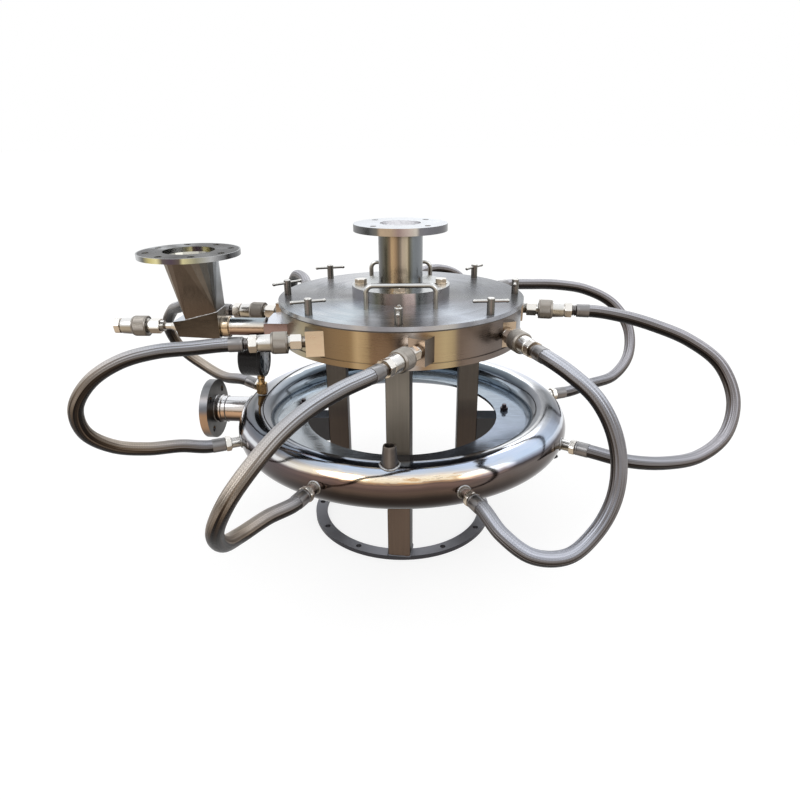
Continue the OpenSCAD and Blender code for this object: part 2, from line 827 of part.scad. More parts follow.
module port_blocks() {
  color([0.72, 0.66, 0.56])
    for (i = [0 : 7])
      difference() {
        at_port(i)
          difference() {
            translate([coupler_len, -port_block_w / 2, -port_block_h / 2])
              cube([port_block_len / 2, port_block_w, port_block_h]);
            bar_x(coupler_len - cut, coupler_len + port_block_len, air_bore_r, air_bore_r, fn_small);
          }
        translate([0, 0, body_z - cut])
          cylinder(h = body_h + 2 * cut, r = body_r, $fn = fn_fine);
      }
}

module jet_nozzles() {
  color([0.6, 0.6, 0.6])
    for (i = [0 : 7])
      difference() {
        intersection() {
          at_port(i)
            difference() {
              bar_x(coupler_len, coupler_len + port_block_len + jet_len, jet_r, jet_r, fn_small);
              bar_x(coupler_len - cut, coupler_len + port_block_len + jet_len, jet_bore_r,
                jet_bore_r, fn_tiny);
            }
          translate([0, 0, body_z])
            cylinder(h = body_h, r = body_r, $fn = fn_big);
        }
        translate([0, 0, body_z])
          cylinder(h = body_h, r = well_r - liner_t, $fn = fn_big);
      }
}

module lid_gasket() {
  color([0.25, 0.25, 0.26])
    difference() {
      translate([0, 0, body_z + body_h])
        cylinder(h = gasket_t, r = body_r, $fn = fn_big);
      translate([0, 0, body_z + body_h - cut])
        cylinder(h = gasket_t + 2 * cut, r = gasket_r_in, $fn = fn_big);
      for (k = [0 : 7])
        rotate([0, 0, 270 + screw_turn + 45 * k])
          translate([screw_circle_r, 0, body_z + body_h - cut])
            cylinder(h = gasket_t + 2 * cut, r = screw_r + screw_play, $fn = fn_small);
    }
}

module lid() {
  color([0.72, 0.75, 0.8])
    difference() {
      union() {
        translate([0, 0, top_z - lid_t])
          cylinder(h = lid_t, r = lid_r, $fn = fn_big);
        translate([0, 0, top_z - lid_t - spigot_h])
          cylinder(h = spigot_h + cut, r = spigot_r, $fn = fn_big);
      }
      translate([0, 0, top_z - lid_t - spigot_h - cut])
        cylinder(h = lid_t + spigot_h + 2 * cut, r = outlet_r, $fn = fn_mid);
      for (k = [0 : 7])
        rotate([0, 0, 270 + screw_turn + 45 * k])
          translate([screw_circle_r, 0, top_z - lid_t - cut])
            cylinder(h = lid_t + 2 * cut, r = screw_r + screw_play, $fn = fn_small);
      for (k = [0 : 3])
        rotate([0, 0, screw_turn + 90 * k])
          translate([foot_bolt_circle_r, 0, top_z - lid_t - cut])
            cylinder(h = lid_t + 2 * cut, r = foot_bolt_r, $fn = fn_small);
    }
}

module lid_handle() {
  reach = handle_half_w - handle_bend_r;
  rise = handle_h - handle_bend_r - handle_rod_r;
  for (s = [-1, 1]) {
    translate([s * handle_half_w, 0, 0])
      cylinder(h = rise, r = handle_rod_r, $fn = fn_small);
    translate([s * reach, 0, rise])
      rotate([90, 0, s > 0 ? 0 : 180])
        rotate_extrude(angle = 90, $fn = fn_mid)
          translate([handle_bend_r, 0])
            circle(r = handle_rod_r, $fn = fn_small);
  }
  translate([0, 0, rise + handle_bend_r])
    bar_x(-reach, reach, handle_rod_r, handle_rod_r, fn_small);
}

module lid_handles() {
  color([0.75, 0.75, 0.76])
    for (s = [-1, 1])
      translate([0, s * handle_y, top_z])
        lid_handle();
}

module foot_flange() {
  color([0.72, 0.7, 0.66])
    difference() {
      translate([0, 0, top_z])
        cylinder(h = foot_flange_t, r = foot_flange_r, $fn = fn_big);
      translate([0, 0, top_z - cut])
        cylinder(h = foot_flange_t + 2 * cut, r = outlet_r, $fn = fn_mid);
      for (k = [0 : 3])
        rotate([0, 0, screw_turn + 90 * k])
          translate([foot_bolt_circle_r, 0, top_z - cut])
            cylinder(h = foot_flange_t + 2 * cut, r = foot_bolt_r, $fn = fn_small);
    }
}

module foot_bolts() {
  color([0.6, 0.55, 0.45])
    for (k = [0 : 3])
      rotate([0, 0, screw_turn + 90 * k])
        translate([foot_bolt_circle_r, 0, 0]) {
          translate([0, 0, top_z - lid_t])
            cylinder(h = lid_t + foot_flange_t + cut, r = foot_bolt_r, $fn = fn_small);
          translate([0, 0, top_z + foot_flange_t])
            cylinder(h = foot_bolt_head_h, r = foot_bolt_head_r, $fn = 6);
        }
}

module outlet_tube() {
  color([0.72, 0.62, 0.45])
    translate([0, 0, outlet_low_z])
      difference() {
        cylinder(h = outlet_top_z - outlet_flange_t - outlet_low_z, r = outlet_r, $fn = fn_mid);
        translate([0, 0, -cut])
          cylinder(h = outlet_top_z - outlet_low_z, r = outlet_r - outlet_wall, $fn = fn_mid);
      }
}

module outlet_flange() {
  color([0.75, 0.75, 0.76])
    translate([0, 0, outlet_top_z - outlet_flange_t])
      difference() {
        cylinder(h = outlet_flange_t, r = outlet_flange_r, $fn = fn_big);
        translate([0, 0, -cut])
          cylinder(h = outlet_flange_t + 2 * cut, r = outlet_r - outlet_wall, $fn = fn_mid);
        for (k = [0 : 3])
          rotate([0, 0, 45 + 90 * k])
            translate([outlet_bolt_circle_r, 0, -cut])
              cylinder(h = outlet_flange_t + 2 * cut, r = outlet_hole_r, $fn = fn_small);
      }
}

module feed_block() {
  color([0.7, 0.66, 0.6])
    difference() {
      at_feed_out()
        difference() {
          translate([0, 0, -feed_block_half_h])
            linear_extrude(height = 2 * feed_block_half_h)
              polygon([[feed_block_out, feed_block_front], [feed_block_out, -feed_block_back],
                [feed_block_out - feed_block_slope, -feed_block_back - feed_block_slope],
                [-2 * wall_t, -feed_block_back - feed_block_slope], [-2 * wall_t, feed_block_front]]);
          bar_x(feed_inner - body_r, feed_block_out + cut, feed_port_r, feed_port_r, fn_small);
        }
      translate([0, 0, body_z - cut])
        cylinder(h = body_h + 2 * cut, r = body_r, $fn = fn_fine);
    }
}

module feed_pipe() {
  collar = box_near - feed_collar_w;
  color([0.72, 0.64, 0.52])
    difference() {
      at_feed_out()
        union() {
          bar_x(feed_block_out, box_near, feed_pipe_r, feed_pipe_r, fn_mid);
          bar_x(collar, box_near, feed_collar_r, feed_collar_r, fn_mid);
        }
      at_feed_out()
        bar_x(feed_block_out - cut, box_near + cut, feed_bore_r, feed_bore_r, fn_small);
    }
}

module box_outline(t) {
  polygon([[box_near + t, t - box_down], [box_far_low - t, t - box_far_down],
    [box_far - t, box_far_up - t], [duct_far, box_mid_up - t], [box_near + t, box_up - t]]);
}

module injector_box() {
  foot = duct_far - duct_near - 2 * sheet_t;
  color([0.4, 0.32, 0.26])
    at_feed_out()
      difference() {
        translate([0, box_half_w, 0])
          rotate([90, 0, 0])
            linear_extrude(height = 2 * box_half_w)
              box_outline(0);
        translate([0, box_half_w - sheet_t, 0])
          rotate([90, 0, 0])
            linear_extrude(height = 2 * box_half_w - 2 * sheet_t)
              box_outline(sheet_t);
        translate([duct_near + sheet_t, sheet_t - box_half_w, 0])
          cube([foot, 2 * box_half_w - 2 * sheet_t, box_up + cut]);
        bar_x(box_near - cut, box_near + 2 * sheet_t, feed_bore_r, feed_bore_r, fn_small);
        bar_x(box_far_low - 2 * sheet_t, box_far + cut, lance_r, lance_r, fn_small);
      }
}

// the duct's outline: a square foot blended into a round mouth
module duct_form(t) {
  high = hopper_up - hopper_flange_t;
  drop = t > 0 ? cut : 0;
  hull() {
    translate([duct_near + t, t - box_half_w, box_up - duct_rim - drop])
      cube([duct_rim, 2 * box_half_w - 2 * t, duct_rim]);
    translate([duct_far - t - duct_rim, t - box_half_w, box_mid_up - duct_rim - drop])
      cube([duct_rim, 2 * box_half_w - 2 * t, duct_rim]);
    translate([hopper_reach, 0, high - duct_rim + drop])
      cylinder(h = duct_rim, r = duct_r - t, $fn = fn_mid);
  }
}

module hopper_duct() {
  color([0.36, 0.3, 0.25])
    at_feed_out()
      difference() {
        duct_form(0);
        duct_form(sheet_t);
        // the foot follows the sloping top of the box
        translate([0, box_half_w + sheet_t, 0])
          rotate([90, 0, 0])
            linear_extrude(height = 2 * box_half_w + 2 * sheet_t)
              box_outline(0);
      }
}

module hopper_flange() {
  color([0.3, 0.3, 0.32])
    at_feed_out()
      translate([hopper_reach, 0, hopper_up - hopper_flange_t])
        difference() {
          cylinder(h = hopper_flange_t, r = hopper_flange_r, $fn = fn_big);
          translate([0, 0, -cut])
            cylinder(h = hopper_flange_t + 2 * cut, r = duct_r - sheet_t, $fn = fn_mid);
          for (k = [0 : 7])
            rotate([0, 0, 22.5 + 45 * k])
              translate([hopper_bolt_r, 0, -cut])
                cylinder(h = hopper_flange_t + 2 * cut, r = hopper_hole_r, $fn = fn_small);
        }
}

module air_lance() {
  cone_end = box_far + lance_cone_len;
  color([0.7, 0.7, 0.7])
    at_feed_out()
      difference() {
        union() {
          bar_x(box_far - lance_inside, box_far, lance_r, lance_r, fn_small);
          bar_x(box_far, cone_end, lance_cone_r, lance_r, fn_small);
          bar_x(cone_end, cone_end + lance_len, lance_r, lance_r, fn_small);
        }
        bar_x(box_far - lance_inside - cut, cone_end + lance_len + cut, lance_bore_r, lance_bore_r,
          fn_tiny);
      }
}

// the port side of a coupling: thread, nut and throat
module adapter() {
  first = coupler_len - tail_len - port_nut_len;
  difference() {
    union() {
      bar_x(first - throat_len, first, throat_r, throat_r, fn_small);
      hex_x(first, first + port_nut_len, port_nut_r);
      bar_x(first + port_nut_len, coupler_len, tail_r, tail_r, fn_small);
    }
    bar_x(first - throat_len - cut, coupler_len + cut, air_bore_r, air_bore_r, fn_tiny);
  }
}

// the hose side of a coupling: nut, body and the barrel under its sleeve
module coupling_body(open_end) {
  nut_at = ferrule_len + neck_len;
  difference() {
    union() {
      if (open_end)
        hex_x(nut_at + nut_len - end_nut_len, nut_at + nut_len, nut_r);
      if (!open_end) {
        bar_x(ferrule_len, nut_at, neck_r, neck_r, fn_small);
        hex_x(nut_at, nut_at + nut_len, nut_r);
      }
      bar_x(nut_at + nut_len, sleeve_at, socket_r, barrel_r, fn_small);
      bar_x(sleeve_at, sleeve_at + sleeve_len, barrel_r, barrel_r, fn_small);
    }
    bar_x(ferrule_len - cut, coupler_len, air_bore_r, air_bore_r, fn_tiny);
  }
}

module sleeve() {
  difference() {
    bar_x(sleeve_at, sleeve_at + sleeve_len, sleeve_r, sleeve_r, fn_small);
    bar_x(sleeve_at - cut, sleeve_at + sleeve_len + cut, barrel_r + sleeve_play,
      barrel_r + sleeve_play, fn_small);
  }
}

// places its child at the feed's open coupling, with +X toward the chamber
module at_open_coupling() {
  at_feed_out()
    translate([box_far + lance_cone_len + lance_len + coupler_len, 0, 0])
      rotate([0, 0, 180])
        children();
}

module port_adapters() {
  color([0.68, 0.66, 0.64]) {
    for (i = [0 : 7])
      at_port(i)
        adapter();
    at_open_coupling()
      adapter();
  }
}

module coupling_bodies() {
  color([0.66, 0.65, 0.63]) {
    for (i = [0 : 7])
      at_port(i)
        coupling_body(false);
    at_open_coupling()
      coupling_body(true);
  }
}

module hose_ferrules() {
  color([0.55, 0.54, 0.53]) {
    for (i = [0 : 7]) {
      at_port(i)
        difference() {
          bar_x(0, ferrule_len, ferrule_r, ferrule_r, fn_small);
          bar_x(ferrule_len * end_share, ferrule_len + cut, air_bore_r, air_bore_r, fn_tiny);
        }
      at_nipple(i)
        difference() {
          bar_x(0, low_ferrule_len, ferrule_r, ferrule_r, fn_small);
          bar_x(low_ferrule_len * end_share, low_ferrule_len + cut, air_bore_r, air_bore_r,
            fn_tiny);
        }
    }
  }
}

module sleeve_on(i) {
  color([0.42, 0.41, 0.4])
    at_port(i)
      sleeve();
}

module sleeve_1() {
  sleeve_on(0);
}

module sleeve_2() {
  sleeve_on(1);
}

module sleeve_3() {
  sleeve_on(2);
}

module sleeve_4() {
  sleeve_on(3);
}

module sleeve_5() {
  sleeve_on(4);
}

module sleeve_6() {
  sleeve_on(5);
}

module sleeve_7() {
  sleeve_on(6);
}

module sleeve_8() {
  sleeve_on(7);
}

module sleeve_9() {
  color([0.42, 0.41, 0.4])
    at_open_coupling()
      sleeve();
}

module hose_1() {
  hose(0);
}

module hose_2() {
  hose(1);
}

module hose_3() {
  hose(2);
}

module hose_4() {
  hose(3);
}

module hose_5() {
  hose(4);
}

module hose_6() {
  hose(5);
}

module hose_7() {
  hose(6);
}

module hose_8() {
  hose(7);
}

// a lid screw with its cross bar
module tscrew(k) {
  color([0.6, 0.56, 0.5])
    rotate([0, 0, 270 + screw_turn + 45 * k])
      translate([screw_circle_r, 0, top_z]) {
        translate([0, 0, -screw_down])
          cylinder(h = screw_down + screw_up, r = screw_r, $fn = fn_small);
        translate([0, 0, bar_up])
          rotate([0, 0, screw_bars[k] - 270 - screw_turn - 45 * k])
            bar_x(-bar_len / 2, bar_len / 2, bar_r, bar_r, fn_tiny);
      }
}

module tscrew_1() {
  tscrew(0);
}

module tscrew_2() {
  tscrew(1);
}

module tscrew_3() {
  tscrew(2);
}

module tscrew_4() {
  tscrew(3);
}

module tscrew_5() {
  tscrew(4);
}

module tscrew_6() {
  tscrew(5);
}

module tscrew_7() {
  tscrew(6);
}

module tscrew_8() {
  tscrew(7);
}

base_ring();
stand_legs();
brackets();
air_ring();
ring_plate();
plate_bolts();
ring_nipples();
inlet_pipe();
inlet_flange();
spare_socket();
gauge_stem();
gauge_case();
gauge_dial();
gauge_needle();
gauge_glass();
chamber_body();
grinding_ring();
port_blocks();
jet_nozzles();
lid_gasket();
lid();
lid_handles();
foot_flange();
foot_bolts();
outlet_tube();
outlet_flange();
feed_block();
feed_pipe();
injector_box();
hopper_duct();
hopper_flange();
air_lance();
port_adapters();
coupling_bodies();
hose_ferrules();
sleeve_1();
sleeve_2();
sleeve_3();
sleeve_4();
sleeve_5();
sleeve_6();
sleeve_7();
sleeve_8();
sleeve_9();
hose_1();
hose_2();
hose_3();
hose_4();
hose_5();
hose_6();
hose_7();
hose_8();
tscrew_1();
tscrew_2();
tscrew_3();
tscrew_4();
tscrew_5();
tscrew_6();
tscrew_7();
tscrew_8();
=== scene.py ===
import random
from math import cos, hypot, pi, radians, sin, tau as TAU

import bmesh
import bpy
from mathutils import Matrix, Vector


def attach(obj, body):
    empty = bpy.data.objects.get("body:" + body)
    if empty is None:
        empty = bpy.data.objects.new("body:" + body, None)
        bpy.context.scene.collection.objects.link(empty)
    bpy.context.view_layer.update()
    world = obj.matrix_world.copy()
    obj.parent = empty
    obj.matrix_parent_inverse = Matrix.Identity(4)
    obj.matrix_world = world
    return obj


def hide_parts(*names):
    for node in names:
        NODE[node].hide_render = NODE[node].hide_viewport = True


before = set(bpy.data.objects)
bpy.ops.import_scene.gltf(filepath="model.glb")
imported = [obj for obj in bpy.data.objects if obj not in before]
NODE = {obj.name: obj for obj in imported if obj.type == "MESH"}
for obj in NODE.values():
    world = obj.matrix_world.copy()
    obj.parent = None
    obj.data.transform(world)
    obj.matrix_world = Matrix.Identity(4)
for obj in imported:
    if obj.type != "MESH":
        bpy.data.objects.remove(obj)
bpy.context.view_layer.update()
scene = bpy.context.scene
rnd = random.Random(7)

# sizes shared by several pieces, in millimetres and degrees
RING_R, RING_TUBE, RING_Z = 263, 35.3, 204
PORT_Z = 396
LID_TOP = 432
HOSE_R = 11.0
INLET_TURN, GAUGE_TURN, SPARE_TURN = 174.5, 175.6, 266


# ---------------------------------------------------------------- camera
def camera():
    """as fitted to the photo: heading, pitch and roll in degrees, place in metres"""
    psi, pitch, roll = (radians(a) for a in (-0.17, 22.51, -0.49))
    v = Vector((sin(psi) * cos(pitch), cos(psi) * cos(pitch), -sin(pitch)))
    r0 = Vector((cos(psi), -sin(psi), 0))
    u0 = r0.cross(v)
    r = r0 * cos(roll) + u0 * sin(roll)
    u = u0 * cos(roll) - r0 * sin(roll)
    data = bpy.data.cameras.new("photo_camera")
    data.sensor_width = 36.0
    data.lens = 36.0 * 623.7 / 800.0
    data.clip_end = 200
    cam = bpy.data.objects.new("photo_camera", data)
    scene.collection.objects.link(cam)
    m = Matrix((r, u, -v)).transposed().to_4x4()
    m.translation = Vector((0, -1.0725, 0.6769))
    cam.matrix_world = m
    scene.camera = cam


camera()


# ---------------------------------------------------------------- materials
MAT = {}


def rgb(c):
    """a screen tone of 0 to 255 as linear colour"""
    return tuple((x / 255 / 12.92) if x <= 10 else ((x / 255 + 0.055) / 1.055) ** 2.4 for x in c) + (1.0,)


class Tree:
    """puts nodes into a material or a world; the makers of nodes hand back an output socket"""
    def __init__(s, owner):
        owner.use_nodes = True
        s.t = owner.node_tree
        s.t.nodes.clear()

    def n(s, kind, **props):
        node = s.t.nodes.new("ShaderNode" + kind)
        for k, v in props.items():
            setattr(node, k, v)
        return node

    def put(s, sock, v):
        if hasattr(v, "is_linked"):
            s.t.links.new(v, sock)
        else:
            sock.default_value = v

    def f(s, op, *args):
        k = s.n("Math", operation=op)
        for sock, v in zip(k.inputs, args):
            s.put(sock, v)
        return k.outputs[0]

    def light(s, kind, power):
        k = s.n(kind)
        k.inputs["Color"].default_value = (1, 1, 1, 1)
        k.inputs["Strength"].default_value = power
        return k.outputs[0]

    def seen(s):
        """1 for the rays of the camera, of mirrors and through glass"""
        ray = s.n("LightPath").outputs
        return s.f("MAXIMUM", s.f("MAXIMUM", ray["Is Camera Ray"], ray["Is Glossy Ray"]),
            ray["Is Transmission Ray"])

    def blend(s, out, *parts):
        """mixes two shaders, given as share, first, second"""
        k = s.n("MixShader")
        for sock, v in zip(k.inputs, parts):
            s.put(sock, v)
        s.put(out, k.outputs[0])


class Mat(Tree):
    def __init__(s, name, metal=1.0, rough=0.3, spec=0.5):
        MAT[name] = s.m = bpy.data.materials.new(name)
        super().__init__(s.m)
        s.out = s.n("OutputMaterial").inputs["Surface"]
        s.b = s.n("BsdfPrincipled")
        s.put(s.out, s.b.outputs["BSDF"])
        s.set("Metallic", metal)
        s.set("Roughness", rough)
        s.set("Specular IOR Level", spec)
        co = s.n("TexCoord").outputs
        s.pos, s.nor = co["Object"], co["Normal"]

    def set(s, name, v):
        s.put(s.b.inputs[name], v)

    def add(s, a, b):
        return s.f("ADD", a, b)

    def mul(s, a, b):
        return s.f("MULTIPLY", a, b)

    def swing(s, v, k):
        """a pattern of 0 to 1 as a shift of up to k / 2 both ways"""
        return s.mul(s.f("SUBTRACT", v, 0.5), k)

    def turn(s, x, y):
        """direction of (x, y) round the axis: 0.25 toward the front, 0.5 toward +X"""
        return s.add(s.f("DIVIDE", s.f("ARCTAN2", y, x), TAU), 0.5)

    def far(s, x, y):
        """distance of (x, y) from the axis"""
        return s.f("SQRT", s.add(s.mul(x, x), s.mul(y, y)))

    def xyz(s, v):
        k = s.n("SeparateXYZ")
        s.put(k.inputs[0], v)
        return k.outputs

    def vec(s, x, y, z):
        k = s.n("CombineXYZ")
        for sock, q in zip(k.inputs, (x, y, z)):
            s.put(sock, q)
        return k.outputs[0]

    def scaled(s, k):
        """the place on the piece, stretched by k"""
        m = s.n("VectorMath", operation="MULTIPLY")
        s.put(m.inputs[0], s.pos)
        m.inputs[1].default_value = k if isinstance(k, tuple) else (k, k, k)
        return m.outputs[0]

    def ramp(s, fac, stops):
        """stops of (place, red, green, blue) or (place, grey from 0 to 1)"""
        k = s.n("ValToRGB")
        e = k.color_ramp.elements
        while len(e) < len(stops):
            e.new(0.5)
        for i, (p, *c) in enumerate(stops):
            e[i].position = p
            e[i].color = rgb(c) if len(c) > 1 else (c[0], c[0], c[0], 1)
        s.put(k.inputs[0], fac)
        return k.outputs[0]

    def wheel(s, fac, stops):
        """a ramp that goes once round and ends in its first tone"""
        return s.ramp(fac, stops if stops[-1][0] == 1.0 else stops + [(1.0, *stops[0][1:])])

    def noise(s, v, scale, detail=2.0, rough=0.5, dist=0.0):
        k = s.n("TexNoise")
        s.put(k.inputs["Vector"], v)
        k.inputs["Scale"].default_value = scale
        k.inputs["Detail"].default_value = detail
        k.inputs["Roughness"].default_value = rough
        k.inputs["Distortion"].default_value = dist
        return k.outputs[0]

    def span(s, v, a, b, c=0.0, d=1.0, smooth=False):
        """maps a..b to c..d and stays within"""
        k = s.n("MapRange", interpolation_type="SMOOTHSTEP" if smooth else "LINEAR")
        for sock, q in zip(k.inputs, (v, a, b, c, d)):
            s.put(sock, q)
        return k.outputs[0]

    def mix(s, a, b, fac=0.5, how="MIX"):
        k = s.n("MixRGB", blend_type=how)
        for sock, q in zip(k.inputs, (fac, a, b)):
            s.put(sock, rgb(q) if isinstance(q, tuple) else q)
        return k.outputs[0]

    def over(s, c, fac, stops, amount):
        """lays a grey pattern over a colour"""
        return s.mix(c, s.ramp(fac, stops), amount, "OVERLAY")

    def bump(s, height, dist, strength=1.0):
        k = s.n("Bump")
        k.inputs["Strength"].default_value = strength
        k.inputs["Distance"].default_value = dist
        s.put(k.inputs["Height"], height)
        s.set("Normal", k.outputs[0])

    def around(s, wob, scale):
        """direction in which the surface faces round the axis, a little unsteady"""
        n = s.xyz(s.nor)
        return s.add(s.turn(n[0], n[1]), s.swing(s.noise(s.pos, scale), wob))

    def finish(s, c, grain, smooth, dull, bump=0.0):
        """sets the colour, a roughness that follows the grain, and the grain's height"""
        s.set("Base Color", c)
        s.set("Roughness", s.span(grain, 0.3, 0.7, smooth, dull))
        if bump:
            s.bump(grain, bump)


def steel(name, side, up, down, rough=(0.22, 0.36), wob=0.02, wear=0.12, grain=60, metal=1.0, mid=None,
          spots=0.0, painted_inner_light=None, low=(0.1, 0.8)):
    """brushed or turned steel with painted reflections: the side tones go round the vertical axis, faces turned
    up get painted light and faces turned down painted shade; the tone for faces half turned up is a painted
    reflection band, and the tone for faces turned to the axis is painted light inside the bore
    """
    m = Mat(name, metal)
    nz = m.xyz(m.nor)[2]
    big = m.noise(m.pos, 14.0, 3.0)
    # painted reflections: side tones round the vertical axis
    c = m.wheel(m.around(wob, 7.0), side)
    # painted reflection band on faces half turned up
    if mid:
        c = m.mix(c, mid, m.mul(m.span(nz, 0.1, 0.35, smooth=True), m.span(nz, 0.75, 0.5, smooth=True)))
    # painted light on faces turned up
    c = m.mix(c, up, m.span(m.add(nz, m.swing(big, 0.2)), 0.12, 0.85, smooth=True))
    # painted shade on faces turned down
    c = m.mix(c, down, m.span(m.mul(nz, -1.0), *low, smooth=True))
    streak = m.noise(m.scaled(grain), 1.0, 4.0, 0.6)
    k = m.add(m.add(m.swing(streak, wear * 2), m.swing(big, wear)), 0.5)
    c = m.over(c, k, [(0.1, 118, 112, 106), (0.5, 188, 188, 188), (0.9, 252, 250, 246)], 0.55)
    if spots:
        c = m.mix(c, (96, 88, 80), m.mul(m.span(m.noise(m.pos, 90.0), 0.66, 0.74), spots))
    # painted light inside the bore, on the faces turned to the axis
    if painted_inner_light:
        p, n = m.xyz(m.pos), m.xyz(m.nor)
        c = m.mix(c, painted_inner_light, m.span(m.add(m.mul(p[0], n[0]), m.mul(p[1], n[1])), -0.005, -0.015))
    m.set("Base Color", c)
    m.set("Roughness", m.span(m.add(streak, big), 0.7, 1.3, *rough))
    m.bump(streak, 0.00004)


def lid_material():
    """turned disc with painted reflections: tones go round its middle, the edge is as the body's, and faces
    turned down get painted shade
    """
    m = Mat("lid_steel", 0.7)
    p, n = m.xyz(m.pos), m.xyz(m.nor)
    r, az = m.far(p[0], p[1]), m.turn(p[0], p[1])
    # painted reflections: light blue-white and darker tones round the top
    top = m.wheel(m.add(az, m.swing(m.noise(m.pos, 9.0, 3.0, 0.55, 0.6), 0.05)), [(0.0, 116, 118, 122),
        (0.035, 118, 120, 126), (0.055, 154, 158, 160), (0.075, 140, 146, 152), (0.1, 160, 168, 178),
        (0.13, 188, 198, 208), (0.17, 190, 204, 214), (0.2, 160, 164, 172), (0.225, 138, 140, 146),
        (0.25, 118, 112, 108), (0.275, 120, 122, 130), (0.3, 160, 166, 176), (0.335, 178, 186, 198),
        (0.37, 138, 144, 154), (0.42, 112, 114, 122), (0.46, 104, 108, 112), (0.5, 86, 90, 98),
        (0.54, 92, 96, 104), (0.585, 124, 128, 134), (0.625, 144, 148, 156), (0.68, 168, 172, 180),
        (0.75, 190, 192, 196), (0.83, 196, 198, 202), (0.875, 188, 190, 196), (0.92, 148, 152, 158),
        (0.96, 144, 146, 150)])
    rings = m.noise(m.vec(m.mul(r, 900.0), m.mul(az, 6.0), 0.0), 1.0, 3.0, 0.6)
    arcs = m.noise(m.vec(m.mul(r, 60.0), m.mul(az, 14.0), 3.0), 1.0)
    top = m.over(top, arcs, [(0.3, 120, 126, 134), (0.5, 190, 190, 190), (0.7, 250, 252, 255)], 0.24)
    top = m.over(top, rings, [(0.25, 140, 142, 146), (0.75, 232, 234, 238)], 0.16)
    # darker towards the middle
    top = m.mix(top, (112, 110, 112), m.mul(m.span(r, 0.12, 0.086), 0.3))
    # painted reflections of the body round the edge, mixed with light blue-grey
    edge = m.mix(m.wheel(m.around(0.006, 7.0), BODY_REFLECTIONS), (186, 194, 206), 0.5)
    c = m.mix(edge, top, m.span(n[2], 0.3, 0.8, smooth=True))
    # painted shade on faces turned down
    c = m.mix(c, (60, 56, 54), m.span(n[2], -0.2, -0.7))
    m.finish(c, rings, 0.2, 0.34, 0.00003)


